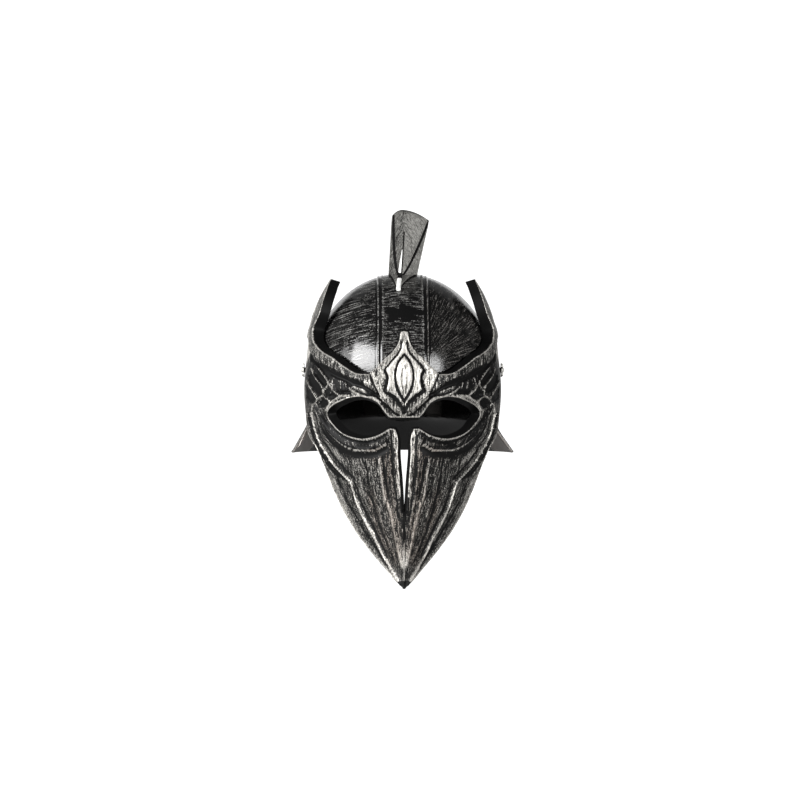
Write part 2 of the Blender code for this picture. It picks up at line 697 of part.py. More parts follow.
def make_crest(group, cutters):
    """The crest: a hollow comb along the crown, open where it stands on the dome, with a pointed prow. It
    leans to one side, most of all in front, and its keel less than its flanks."""
    first = -math.asin(CREST_FRONT)
    last = CREST_BACK
    levels = CREST_LEVELS
    base, top, tail = CREST_BASE_WIDTH / 2, CREST_TOP_WIDTH / 2, CREST_TAIL_WIDTH / 2
    seat = FIT_GAP + (base**2 - (base - CREST_WALL) ** 2) / (2.0 * SKULL_HALF_WIDTH)
    points = []

    def at(side, turn, level, x, forward, front_lean=CREST_LEAN):
        foot, normal = dome_point(side, turn, seat)
        share = (turn - first) / (last - first)
        lean = math.tan(front_lean + (TAIL_LEAN - front_lean) * share)
        rise = crest_height(turn, first, last) * level
        ahead = Vector((0.0, normal.z, -normal.y)).normalized()
        place = Vector((0.0, foot.y, foot.z)) + Vector((0.0, normal.y, normal.z)).normalized() * rise
        points.append(Vector((x + rise * lean, place.y, place.z - level * x * lean)) - ahead * forward)
        return len(points) - 1

    columns = []
    for i in range(CREST_STATIONS):
        share = i / (CREST_STATIONS - 1)
        turn = first + (last - first) * share
        spread = top + (tail - top) * share - base
        left = [at(base, turn, level, -(base + spread * level), 0.0) for level in levels]
        right = [at(base, turn, level, base + spread * level, 0.0) for level in levels]
        top_level = 1.0 + CREST_GABLE / crest_height(turn, first, last)
        ridge = at(0.0, turn, top_level, KEEL_FOOT * (1.0 - share), 0.0, KEEL_LEAN)
        columns.append((left, right, ridge))
    faces = []
    for (left, right, ridge), (left2, right2, ridge2) in zip(columns, columns[1:]):
        for j in range(len(levels) - 1):
            faces.append((left[j], left2[j], left2[j + 1], left[j + 1]))
            faces.append((right[j], right[j + 1], right2[j + 1], right2[j]))
        faces.append((left[-1], left2[-1], ridge2, ridge))
        faces.append((ridge, ridge2, right2[-1], right[-1]))
    left, right, ridge = columns[-1]
    faces.append(tuple(left + [ridge] + right[::-1] + [at(0.0, last, 0.0, 0.0, 0.0)]))
    left, right, ridge = columns[0]
    keel = [at(0.0, first, level, KEEL_FOOT, PROW_DEPTH, KEEL_LEAN) for level in levels]
    points[ridge] = points[ridge] + Vector((0.0, -PROW_DEPTH, 0.0))
    for way, flank in ((-1, left), (1, right)):
        forward = PROW_DEPTH * CREASE_FORWARD
        crease = [keel[0]]
        for level in levels[1:-1]:
            x = way * top * CREASE_OUT * level**CREASE_BOW + KEEL_FOOT * (1.0 - level)
            crease.append(at(base, first, level, x, forward))
        crease.append(flank[-1])
        heel_side = way * base * HEEL_OUT
        heel = at(heel_side, first, 0.0, heel_side, forward)
        for j in range(len(levels) - 1):
            faces.append(tuple(dict.fromkeys((keel[j], keel[j + 1], crease[j + 1], crease[j]))))
            foot = [heel] if j == 0 else []
            faces.append(tuple([crease[j], crease[j + 1], flank[j + 1], flank[j]] + foot))
    faces.append((keel[-1], ridge, left[-1]))
    faces.append((keel[-1], right[-1], ridge))
    crest = new_object("crest", points, faces, group)
    crest.location = EQUATOR
    face_outwards(crest)
    wall = crest.modifiers.new("wall", "SOLIDIFY")
    wall.thickness = CREST_WALL
    wall.offset = -1.0
    boolean(crest, make_tongue(first, cutters), "UNION")
    crest.data.materials.append(plastic("crest_paint", (0.28, 0.28, 0.28), 0.40, 0.6))
    return crest


def make_tongue(first, cutters):
    """The bar that runs from the crest's keel down the front of the dome, a little to one side."""
    overlap = (CREST_WALL + FIT_GAP) / SKULL_HALF_LENGTH
    start, length = first - TONGUE_REACH, TONGUE_REACH + overlap
    turns = [start + length * i / TONGUE_STEPS for i in range(TONGUE_STEPS + 1)]
    half = TONGUE_WIDTH / 2
    corners = ((-half, FIT_GAP), (half, FIT_GAP), (half, TONGUE_HEIGHT), (-half, TONGUE_HEIGHT))
    points = []
    for turn in turns:
        middle = KEEL_FOOT + (turn - first) * SKULL_HALF_LENGTH * math.tan(TONGUE_SLANT)
        points += [dome_point(middle + x, turn, proud)[0] for x, proud in corners]
    faces = [(0, 1, 2, 3), tuple(4 * (len(turns) - 1) + k for k in (3, 2, 1, 0))]
    for i in range(len(turns) - 1):
        faces += [(4 * i + k, 4 * i + (k + 1) % 4, 4 * i + 4 + (k + 1) % 4, 4 * i + 4 + k) for k in range(4)]
    tongue = new_object("tongue", points, faces, cutters)
    tongue.location = EQUATOR
    face_outwards(tongue)
    as_cutter(tongue)
    return tongue


def make_rivet(side, group):
    """A temple rivet: a round head outside the mask, a shank through both walls, and a flat tail."""
    name = "rivet_left" if side < 0 else "rivet_right"
    under_head = (-RIVET_HEAD_RADIUS, 0.0, RIVET_HEAD_RADIUS)
    outer = max(float(mask_point(math.pi / 2 * MASK_DEPTH, height)[0]) for height in under_head)
    facet_dip = SKULL_HALF_WIDTH * (1.0 - math.cos(math.pi / DOME_SIDES))
    off_centre = (PIVOT_FORWARD + RIVET_TAIL_RADIUS) / SKULL_HALF_LENGTH
    round_dip = SKULL_HALF_WIDTH * (1.0 - math.sqrt(1.0 - off_centre**2))
    tail = SKULL_HALF_WIDTH - SKULL_WALL - FIT_GAP - facet_dip - round_dip
    head = outer + FIT_GAP * 1.5
    profile = [(RIVET_HEAD_RADIUS * row.radius, head + RIVET_HEAD_HEIGHT * row.height) for row in RIVET_DOME]
    profile += [(RIVET_SHANK_RADIUS, head), (RIVET_SHANK_RADIUS, tail), (RIVET_TAIL_RADIUS, tail),
                (RIVET_TAIL_RADIUS, tail - RIVET_TAIL_HEIGHT), (0.0, tail - RIVET_TAIL_HEIGHT)]
    mesh = bpy.data.meshes.new(name)
    mesh.from_pydata([(r, 0.0, h) for r, h in profile], [(i, i + 1) for i in range(len(profile) - 1)], [])
    rivet = bpy.data.objects.new(name, mesh)
    group.objects.link(rivet)
    rivet.location = PIVOT
    rivet.rotation_euler = (0.0, side * math.pi / 2, 0.0)
    screw = rivet.modifiers.new("turn", "SCREW")
    screw.steps = RIVET_SIDES
    screw.render_steps = RIVET_SIDES
    screw.use_merge_vertices = True
    screw.merge_threshold = 0.00001
    screw.use_smooth_shade = True
    rivet.data.materials.append(plastic(name + "_paint", (0.25, 0.25, 0.25), 0.40, 0.7))
    return rivet


def main():
    clear_scene()
    helmet = new_collection("gladiator_helmet")
    cutters = new_collection("cutters")
    make_skull_shell(helmet, cutters)
    make_crest(helmet, cutters)
    make_face_mask(helmet, cutters)
    for side in (-1, 1):
        make_rivet(side, helmet)


main()
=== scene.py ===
# %% [markdown]
# # A gladiator helmet in moulded plastic, painted to look like worn iron
#
# The real object is a costume helmet: thin black plastic, moulded in a few pieces and brushed by
# hand with silver paint that only catches the raised parts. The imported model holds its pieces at
# their real size. This lesson dresses them: every piece is worked out again as a fine surface, in
# the same place, and gets the paint that the photograph shows. A sculpting brush could carve the
# relief, but a formula can be read, changed and run again, so each shape here is a formula.

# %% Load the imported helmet
import json
import math
from collections import namedtuple

import bpy
import numpy as np
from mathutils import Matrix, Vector


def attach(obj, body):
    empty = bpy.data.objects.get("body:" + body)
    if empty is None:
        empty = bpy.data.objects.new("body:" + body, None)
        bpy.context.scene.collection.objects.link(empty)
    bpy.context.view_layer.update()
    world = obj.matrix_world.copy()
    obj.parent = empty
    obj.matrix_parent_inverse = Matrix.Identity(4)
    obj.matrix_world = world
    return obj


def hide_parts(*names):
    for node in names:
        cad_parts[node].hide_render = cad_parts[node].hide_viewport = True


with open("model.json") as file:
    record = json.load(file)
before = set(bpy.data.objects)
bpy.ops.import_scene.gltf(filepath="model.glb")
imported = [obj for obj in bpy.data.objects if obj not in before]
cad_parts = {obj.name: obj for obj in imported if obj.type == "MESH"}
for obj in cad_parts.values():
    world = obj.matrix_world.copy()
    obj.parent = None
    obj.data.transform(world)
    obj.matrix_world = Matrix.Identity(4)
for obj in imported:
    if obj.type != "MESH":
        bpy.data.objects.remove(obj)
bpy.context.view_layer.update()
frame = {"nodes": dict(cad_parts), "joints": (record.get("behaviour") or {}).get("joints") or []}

HINGE = frame["joints"][0]
PIVOT = np.array(HINGE["pos_m"])
print("pieces in the frame:", sorted(frame["nodes"]))

# %% [markdown]
# ## The camera
#
# The picture was taken from straight ahead with a long lens, some 2.3 m away and a little to the
# left, so the front of the mask stands a few pixels to the right of the dome behind it. A camera
# could be placed by eye. Here its place follows from two measured facts: how many millimetres a
# picture element covers at the hinge, and which column and row the helmet's middle falls on.

# %% Place the camera
PICTURE_SIZE = 800
PIXEL = 0.000957
CAMERA_AWAY = 2.3
MIDDLE_COLUMN_FRONT = 404.3
MIDDLE_COLUMN_HINGE = 402.6
FRONT_OF_HINGE = 0.12
HINGE_TO_PICTURE_MIDDLE = -0.0287
SENSOR = 36.0

focal_pixels = CAMERA_AWAY / PIXEL
drift = (MIDDLE_COLUMN_FRONT - MIDDLE_COLUMN_HINGE) / focal_pixels
camera_left = drift / (1 / (CAMERA_AWAY - FRONT_OF_HINGE) - 1 / CAMERA_AWAY)
aim_left = (MIDDLE_COLUMN_HINGE - PICTURE_SIZE / 2) * PIXEL
camera_turn = math.atan((camera_left - aim_left) / CAMERA_AWAY)

lens = bpy.data.cameras.new("camera")
lens.sensor_width = SENSOR
lens.lens = focal_pixels * SENSOR / PICTURE_SIZE
camera = bpy.data.objects.new("camera", lens)
bpy.context.scene.collection.objects.link(camera)
camera.location = (-camera_left, PIVOT[1] - CAMERA_AWAY, PIVOT[2] + HINGE_TO_PICTURE_MIDDLE)
camera.rotation_euler = (math.pi / 2, 0.0, -camera_turn)
bpy.context.scene.camera = camera
print("lens mm:", round(lens.lens, 1), "turned degrees:", round(math.degrees(camera_turn), 2))

# %% [markdown]
# ## From a table to a smooth curve
#
# The mask is a loft: a row of the table says how wide and how deep its section is at one height.
# Straight runs between the rows would show as facets, so a cubic runs through them, with the slope
# at each row taken from its neighbours. The same helper serves every table in this file.

# %% The mask's sections
SKULL_HALF_WIDTH = 0.087
SKULL_HALF_LENGTH = 0.117
SKULL_RISE = 0.0928
SKULL_WALL = 0.0022
MASK_HALF_WIDTH = 0.0955
MASK_DEPTH = 0.119
MASK_DROP = 0.201
WING_RISE = 0.086
MASK_WALL = 0.0025
LIP_DEPTH = 0.009

Section = namedtuple("Section", "level width depth power")
MASK_SECTIONS = (
    Section(1.00, 0.722, 0.94, 2.00), Section(0.83, 0.815, 0.96, 2.00),
    Section(0.51, 0.914, 0.98, 2.00), Section(0.12, 0.962, 0.995, 2.00),
    Section(-0.10, 0.986, 1.005, 2.00), Section(-0.21, 0.970, 1.015, 1.95),
    Section(-0.27, 0.953, 1.025, 1.85), Section(-0.35, 0.921, 1.040, 1.70),
    Section(-0.42, 0.880, 1.040, 1.62), Section(-0.50, 0.838, 1.035, 1.50),
    Section(-0.62, 0.822, 1.025, 1.38), Section(-0.74, 0.827, 1.015, 1.27),
    Section(-0.84, 0.845, 1.008, 1.17), Section(-1.00, 0.880, 1.000, 1.10),
)
widest = max(section.width for section in MASK_SECTIONS)
print("mask sections:", len(MASK_SECTIONS), "widest mm:", round(2000 * MASK_HALF_WIDTH * widest, 1))

# %% A cubic through a table
def smooth_table(at, keys, values):
    """Cubic through a table: each span's end values and slopes, weighted by cubics of the share t."""
    keys = np.asarray(keys, float)
    values = np.asarray(values, float)
    slopes = np.gradient(values, keys, axis=0)
    at = np.clip(at, keys[0], keys[-1])
    i = np.clip(np.searchsorted(keys, at, side="right") - 1, 0, len(keys) - 2)
    span = keys[i + 1] - keys[i]
    t = (at - keys[i]) / span
    if values.ndim == 2:
        span, t = span[:, None], t[:, None]
    return ((2 * t**3 - 3 * t**2 + 1) * values[i] + (t**3 - 2 * t**2 + t) * span * slopes[i]
            + (3 * t**2 - 2 * t**3) * values[i + 1] + (t**3 - t**2) * span * slopes[i + 1])


between = smooth_table(np.array([0.5, 1.5]), [0.0, 1.0, 2.0], [0.0, 1.0, 0.0])
print("a peak's values half way up and half way down:", between.tolist())

# %% The mask's smooth surface
def height_of(level):
    """Height over the hinge: a share of the wing's rise above it, and of the mask's drop below it."""
    level = np.asarray(level, float)
    return np.where(level > 0, level * WING_RISE, level * MASK_DROP)


SECTION_ROWS = list(reversed(MASK_SECTIONS))
SECTION_HEIGHTS = height_of([s.level for s in SECTION_ROWS])


def mask_section(z):
    """Half width, depth and superellipse power of the mask's section at height z over the hinge."""
    width = smooth_table(z, SECTION_HEIGHTS, [s.width for s in SECTION_ROWS]) * MASK_HALF_WIDTH
    depth = smooth_table(z, SECTION_HEIGHTS, [s.depth for s in SECTION_ROWS]) * MASK_DEPTH
    power = smooth_table(z, SECTION_HEIGHTS, [s.power for s in SECTION_ROWS])
    return width, depth, power


def mask_point(arc, z):
    """Smooth mask: at turn = arc / depth the radius is (|sin/width|^p + |cos/depth|^p)^(-1/p)."""
    turn = np.asarray(arc, float) / MASK_DEPTH
    width, depth, power = mask_section(z)
    sine, cosine = np.abs(np.sin(turn)), np.abs(np.cos(turn))
    radius = ((sine / width)**power + (cosine / depth)**power)**(-1.0 / power)
    return np.stack([radius * np.sin(turn), -radius * np.cos(turn), np.broadcast_to(z, radius.shape)], -1)


def mask_normal(arc, z):
    """Outward normal of the smooth mask: the cross product of two short steps along it."""
    step = 1e-5
    along = mask_point(arc + step, z) - mask_point(arc - step, z)
    up = mask_point(arc, z + step) - mask_point(arc, z - step)
    normal = np.cross(along, up)
    return normal / np.linalg.norm(normal, axis=-1, keepdims=True)


print("front of the mask at the hinge, mm:", np.round(mask_point(0.0, 0.0) * 1000, 1).tolist())

# %% [markdown]
# ## Drawing on a curved surface
#
# The edges and the relief are easiest to draw where they are seen: on the picture, or in a front or
# side view. Unrolled, the mask is a plane of arc and height. Three small functions carry a drawing
# from each view to that plane, by asking where the straight line of sight meets the surface.

# %% Lay drawings on the mask
SIGHT_ROUNDS = 12
SEEN_SHARE = 0.996


def arc_from_front(x, z):
    """Arc of the surface point that the front view shows at x and z."""
    width, depth, power = mask_section(z)
    y = -depth * (1.0 - np.clip(np.abs(x) / width, 0.0, 1.0)**power)**(1.0 / power)
    return np.arctan2(x, -y) * MASK_DEPTH


def arc_from_side(y, z):
    """Arc of the surface point that the side view shows at y and z."""
    width, depth, power = mask_section(z)
    x = width * (1.0 - (np.abs(y) / depth)**power)**(1.0 / power)
    return np.arctan2(x, -y) * MASK_DEPTH


def from_picture(points):
    """Picture points of the left half on the mask: sight line and surface agree after a few rounds."""
    column, row = np.asarray(points, float).T
    y = np.full(len(column), -MASK_DEPTH)
    for _ in range(SIGHT_ROUNDS):
        scale = PIXEL * (CAMERA_AWAY + y) / CAMERA_AWAY
        x = (MIDDLE_COLUMN_FRONT - column) * scale
        z = HINGE_TO_PICTURE_MIDDLE + (PICTURE_SIZE / 2 - row) * scale
        width, depth, power = mask_section(z)
        y = -depth * (1.0 - np.clip(x / width, 0.0, SEEN_SHARE)**power)**(1.0 / power)
    return np.stack([np.arctan2(x, -y) * MASK_DEPTH, z], -1)


print("nose bridge lies at arc and height, mm:", np.round(from_picture([(389.5, 417.6)]) * 1000, 1))

# %% Distance and inside
def distance_to_line(points, line, chunk=4000):
    """Distance from each point to a polyline, with the nearest point and its segment's number."""
    a, along = line[:-1], np.diff(line, axis=0)
    length = np.maximum((along**2).sum(-1), 1e-16)
    found = []
    for start in range(0, len(points), chunk):
        p = points[start:start + chunk, None]
        t = np.clip(((p - a) * along).sum(-1) / length, 0.0, 1.0)
        near = a + along * t[..., None]
        away = np.linalg.norm(p - near, axis=-1)
        best = away.argmin(1)
        rows = np.arange(len(best))
        found.append((away[rows, best], near[rows, best], best))
    return tuple(np.concatenate([f[k] for f in found]) for k in range(3))


def inside(points, outline, chunk=4000):
    """True for points inside a closed outline: a ray from them crosses it an odd number of times."""
    x0, y0 = outline.T
    x1, y1 = np.roll(outline, -1, axis=0).T
    span = np.where(y1 == y0, 1.0, y1 - y0)
    result = []
    for start in range(0, len(points), chunk):
        x, y = (column[:, None] for column in points[start:start + chunk].T)
        crosses = (y0 > y) != (y1 > y)
        result.append((crosses & (x < (x1 - x0) * (y - y0) / span + x0)).sum(1) % 2 == 1)
    return np.concatenate(result)


unit_square = np.array([(0, 0), (1, 0), (1, 1), (0, 1)], float)
print("in and beside a square:", inside(np.array([(0.5, 0.5), (1.5, 0.5)]), unit_square).tolist())

# %% [markdown]
# ## The mask's edges
#
# The rim runs from the chin up the jaw, round the temple, up the back of the wing and down its front
# to the brow ornament. The second loop is the eye openings, joined over the nose, with the slot below.
# A row of a table is one point of the rim, with the depth of the lip that turns inwards there and
# whether the rim has a corner. Between corners a cubic makes the run smooth.

# %% Edges of the mask
Edge = namedtuple("Edge", "side level lip corner")
JAW_EDGE = (
    Edge(0.000, -1.000, 0.36, 1), Edge(0.030, -0.984, 0.36, 1), Edge(0.190, -0.907, 0.36, 0),
    Edge(0.335, -0.830, 0.36, 0), Edge(0.481, -0.739, 0.36, 0), Edge(0.631, -0.615, 0.36, 0),
    Edge(0.733, -0.501, 0.36, 0), Edge(0.804, -0.415, 0.36, 0), Edge(0.860, -0.358, 0.36, 1),
)
TEMPLE_EDGE = (
    Edge(-0.04, -0.300, 0.36, 1), Edge(0.17, -0.100, 0.36, 0), Edge(0.22, 0.000, 0.36, 0),
    Edge(0.19, 0.230, 0.36, 0), Edge(0.09, 0.580, 0.40, 0), Edge(-0.05, 1.000, 0.90, 1),
)
WING_EDGE = (
    Edge(0.709, 1.000, 1.00, 1), Edge(0.765, 0.823, 1.05, 0), Edge(0.810, 0.646, 1.05, 0),
    Edge(0.870, 0.430, 1.00, 0), Edge(0.865, 0.330, 0.95, 0), Edge(0.826, 0.247, 0.90, 0),
    Edge(0.670, 0.117, 0.80, 1), Edge(0.555, 0.018, 0.75, 0), Edge(0.442, -0.023, 0.65, 0),
    Edge(0.330, -0.027, 0.55, 1), Edge(0.265, -0.002, 0.50, 0), Edge(0.183, 0.094, 0.45, 0),
    Edge(0.111, 0.167, 0.45, 0), Edge(0.046, 0.290, 0.45, 0), Edge(0.034, 0.384, 0.45, 1),
    Edge(0.000, 0.390, 0.45, 1),
)
EYE_AND_SLOT_EDGE = (
    Edge(0.000, -0.222, 0.45, 1), Edge(0.141, -0.222, 0.45, 1), Edge(0.180, -0.201, 0.50, 0),
    Edge(0.251, -0.156, 0.60, 0), Edge(0.379, -0.130, 0.70, 0), Edge(0.491, -0.130, 0.80, 0),
    Edge(0.620, -0.151, 0.90, 0), Edge(0.700, -0.174, 0.95, 0), Edge(0.732, -0.192, 0.95, 0),
    Edge(0.740, -0.208, 0.95, 0), Edge(0.727, -0.227, 0.95, 0), Edge(0.690, -0.250, 0.90, 0),
    Edge(0.622, -0.284, 0.80, 0), Edge(0.508, -0.311, 0.70, 0), Edge(0.379, -0.318, 0.60, 0),
    Edge(0.235, -0.299, 0.50, 0), Edge(0.141, -0.272, 0.45, 1), Edge(0.090, -0.274, 0.45, 1),
    Edge(0.074, -0.292, 0.45, 0), Edge(0.062, -0.395, 0.45, 0), Edge(0.040, -0.544, 0.45, 0),
    Edge(0.030, -0.640, 0.45, 1), Edge(0.000, -0.652, 0.45, 1),
)
print("edge rows:", len(JAW_EDGE + TEMPLE_EDGE + WING_EDGE), "and", len(EYE_AND_SLOT_EDGE))

# %% Smooth the edges
RIM_STEP = 0.0015


def lay_edge(rows, from_side=False):
    """A table's points in the plane of arc and height."""
    table = np.array([row[:2] for row in rows], float)
    z = height_of(table[:, 1])
    if from_side:
        return np.stack([arc_from_side(table[:, 0] * MASK_DEPTH, z), z], -1)
    return np.stack([arc_from_front(table[:, 0] * MASK_HALF_WIDTH, z), z], -1)


def smooth_run(points, step):
    """A cubic through the points, by the distance along their first two columns, in even steps."""
    along = np.concatenate([[0.0], np.cumsum(np.linalg.norm(np.diff(points[:, :2], axis=0), axis=1))])
    count = max(2, int(round(along[-1] / step)) + 1)
    return smooth_table(np.linspace(0.0, along[-1], count), along, points)


def smooth_edge(points, rows):
    """The edge with its lip depths: one smooth run between each two corners."""
    data = np.column_stack([points, [row.lip for row in rows]])
    corners = [i for i, row in enumerate(rows) if row.corner or i in (0, len(rows) - 1)]
    runs = [smooth_run(data[a:b + 1], RIM_STEP) for a, b in zip(corners, corners[1:])]
    return np.vstack([run[:-1] for run in runs] + [runs[-1][-1:]])


laid_rim = np.vstack([lay_edge(JAW_EDGE), lay_edge(TEMPLE_EDGE, True), lay_edge(WING_EDGE)])
RIM = smooth_edge(laid_rim, JAW_EDGE + TEMPLE_EDGE + WING_EDGE)
EYE = smooth_edge(lay_edge(EYE_AND_SLOT_EDGE), EYE_AND_SLOT_EDGE)
print("rim points:", len(RIM), "eye and slot points:", len(EYE))

# %% [markdown]
# ## The relief and the paint, feature by feature
#
# The mask imitates forged plates: a brow band, an ornament with a pointed lens, feathers at the
# temples, a rolled rim under each eye and a notched strip down the cheek. Each feature is a line or
# an area drawn on the picture's left half, in picture columns and rows. It says how far it stands
# out, how wide it is, and how much silver the brush left there: paint is 1 where it is bright and -1
# where the black plastic shows. The right half is the mirror image.

# %% Lines of the mask
Line = namedtuple("Line", "height half_width paint points")
MM = 0.001
CHEEK_RIDGE = Line(1.7, 1.4, 1.4, ((313.6, 413.3), (315.6, 424.5), (318.7, 435.7), (322.8, 444.9),
                                   (328.9, 455.1), (335, 464.3), (343.7, 474), (352.5, 483)))
LINES = (
    # Groove under the brow band, from the temple to the ornament
    Line(-1.6, 2.4, -1.1, ((311.6, 348), (312, 357), (316.8, 363.4), (323, 367.9), (330.6, 373),
         (335.7, 376), (345.9, 380.3), (353, 384), (361.2, 386.5), (370, 391), (378.5, 397.2))),
    # Shaded lower half of the brow band
    Line(-0.3, 3.6, -0.5, ((322, 364), (332, 370), (343, 376), (353, 380.5), (362, 383.5))),
    # Three feathers at the temple, and the hooks that tie them together
    Line(1.9, 1.3, 1.0, ((316.8, 364.1), (322.4, 371.7), (326.5, 377.3), (330.1, 382.6))),
    Line(1.6, 1.3, 1.0, ((330.1, 382.6), (327.6, 387.6), (325, 391.6), (324.5, 396.2))),
    Line(1.9, 1.3, 0.9, ((313.2, 368.5), (316.8, 377.3), (319.4, 380.9), (323.5, 386.5), (324.8, 391))),
    Line(1.9, 1.3, 0.9, ((309.2, 380.9), (311.7, 387), (315.3, 393.2), (318.4, 398.3))),
    Line(1.6, 1.4, 1.0, ((324.5, 396.2), (319.5, 398.3), (316.8, 403.4), (314.2, 406), (313.6, 413.3))),
    # Knotted lines between the feathers and the eye
    Line(1.5, 1.3, 1.0, ((330.3, 384), (334.2, 390.6), (338.8, 394.4), (341.8, 396.2), (349.5, 395.4))),
    Line(1.6, 1.5, 1.1, ((341.8, 396.2), (334.7, 400.3), (330.1, 404.9), (327.4, 410))),
    Line(1.4, 1.2, 0.9, ((324.5, 396.2), (328.6, 399.3), (331.5, 402))),
    Line(0.9, 1.1, 0.8, ((334, 378), (332.5, 384), (333.8, 389))),
    Line(0.9, 1.0, 0.6, ((340.5, 380.5), (341.5, 388))),
    Line(0.9, 1.0, 0.7, ((345.5, 382.5), (347.6, 389.5))),
    # Upper lid, the leaf over it and the groove between them
    Line(1.9, 1.6, 1.2, ((348.8, 386.2), (351.8, 389.2), (358, 393.4), (365.6, 396.7), (375.8, 398.6),
         (380, 402))),
    Line(-1.4, 1.3, -1.0, ((347.8, 384.9), (352.9, 389.4), (360.5, 393.2), (366.6, 395), (378.6, 394.9))),
    Line(0.9, 1.3, 0.5, ((353.4, 386), (361, 389.3), (370.5, 392.8))),
    # Groove between the eye's inner corner and the ornament's frame
    Line(-1.1, 1.5, -1.0, ((379.6, 399), (386, 404.9), (393.4, 411.4), (398.6, 415.2))),
    # Outer frame of the ornament and its lower crease
    Line(-0.9, 1.0, -2.0, ((401.9, 341), (401.2, 347), (399.1, 352.8), (393.2, 359.9), (385.6, 369.6))),
    Line(-1.5, 1.7, -2.4, ((385.6, 371), (387.6, 376.2), (387.6, 382.1), (385.6, 389.5))),
    Line(-1.2, 1.4, -2.3, ((384.8, 391), (387.4, 393), (394.4, 397.3), (399.1, 402.5), (402, 408.4),
         (404.3, 413.3))),
    Line(-0.7, 1.1, -1.4, ((370.3, 374), (374.5, 384), (379.5, 394.5))),
    # Frame's lower edge, and the line from the lens to its point
    Line(0.8, 1.5, 0.7, ((379, 397), (387.4, 404.3), (396.6, 412.8), (404.3, 415))),
    Line(-0.8, 1.0, -2.2, ((404.3, 400), (404.3, 413))),
    # Groove round the lens and the three ridges in it
    Line(-1.6, 1.8, -3.0, ((404.3, 354.6), (398.6, 362.5), (396, 371), (395.6, 379), (397.4, 388),
         (404.3, 401.8))),
    Line(0.7, 0.9, 0.8, ((404.3, 359.5), (404.3, 393))),
    Line(0.7, 0.9, 0.8, ((403.4, 361), (400.2, 369), (399.4, 379), (401.6, 391))),
    Line(-0.5, 0.8, -1.8, ((404.0, 366), (402.3, 373), (402.2, 383), (403.4, 394))),
    # Rolled rim under the eye, with a painted shadow below its lower edge
    Line(2.4, 3.0, -0.1, ((316.6, 405.5), (318.6, 411.2), (323.8, 419.4), (330, 429.6), (337.2, 437.2),
         (344.6, 442.6), (354, 446.6), (364.6, 448), (378.4, 446), (386, 441))),
    Line(0.4, 1.2, 1.45, ((317.4, 409.2), (322.2, 418.6), (328.4, 429.6), (335.7, 438.2), (343.5, 444.6),
         (353.7, 449.2), (364.6, 450.7), (378.4, 448.8), (386, 444))),
    Line(-1.3, 1.5, -1.4, ((321, 410.5), (326.2, 420.4), (333.8, 429), (343.9, 436.6), (356.4, 441.8),
         (367, 442.6), (379, 439.4), (386.6, 434.6))),
    # Painted shadow: a shallow dip along the roll's lower edge, darkened where the roll's shadow falls
    Line(-0.7, 2.2, -1.4, ((321, 424), (326, 433.5), (333, 443), (342, 449.6), (353, 454), (365, 455.6),
         (379, 453.4), (387, 449))),
    # Edge of the cheek plate, the groove beside it and the outer border of the notched strip
    CHEEK_RIDGE,
    Line(-1.5, 1.6, -1.2, ((315.6, 408.5), (317.4, 418), (321.4, 435.4), (329.4, 448.2), (337, 459.6),
         (346.5, 470.6), (354.8, 479))),
    Line(0.8, 0.9, 0.5, ((308.3, 412), (309.3, 422), (311.8, 433), (315.6, 444), (321, 455), (327, 464.5),
         (336, 476.5))),
    # Run of the plate's edge down the jaw, with a groove on each side
    Line(1.9, 1.9, 1.1, ((352.6, 483.4), (358.2, 503.1), (367.1, 522.9), (376, 538.7), (383, 553.6),
         (392.9, 571.4), (401.2, 584.6))),
    Line(-0.9, 1.8, -0.9, ((355.6, 484), (362.2, 504), (371.1, 521.9), (379, 538.7), (387, 556.5))),
    Line(-0.8, 1.6, -0.8, ((339.4, 480), (349.3, 503), (362.2, 525.8), (376, 547.6), (388.9, 566.4))),
    Line(0.5, 1.2, 0.4, ((334.5, 478), (344.3, 501), (357, 526), (371, 548), (386, 568), (398, 583))),
    # Creases of the cheek that run to the chin
    Line(1.5, 2.1, 0.6, ((379.6, 459.8), (383, 481.3), (385.9, 499.1), (389.9, 509), (393.9, 526.8),
         (397.8, 544.7), (402.4, 566))),
    Line(-0.7, 1.6, -0.6, ((382.6, 459), (386, 480), (389, 498))),
    Line(0.6, 1.6, 0.2, ((371.5, 462), (374, 485), (379, 508), (388, 540), (397, 562))),
    Line(-0.6, 1.6, -0.5, ((366, 462), (369, 485), (375, 508), (384, 537), (394, 560))),
    Line(0.6, 1.8, 0.2, ((358, 466), (362.5, 487), (370, 508), (380, 532), (392, 556))),
    # Panel beside the nose slot
    Line(0.5, 1.0, 0.35, ((388.8, 433.5), (389.2, 455), (392, 485), (397, 518), (400.5, 540),
         (403.2, 566))),
    Line(-0.5, 1.0, -0.8, ((391.6, 436), (392.4, 458), (395, 488), (399.5, 520))),
    Line(0.3, 0.8, 0.6, ((394.6, 433), (395.4, 458), (397.8, 489), (399.6, 511))),
    Line(-0.9, 1.3, -1.3, ((404.3, 514), (404.3, 541))),
    Line(0.9, 0.9, 0.7, ((404.3, 545), (404.3, 584))),
)
print("lines:", len(LINES))

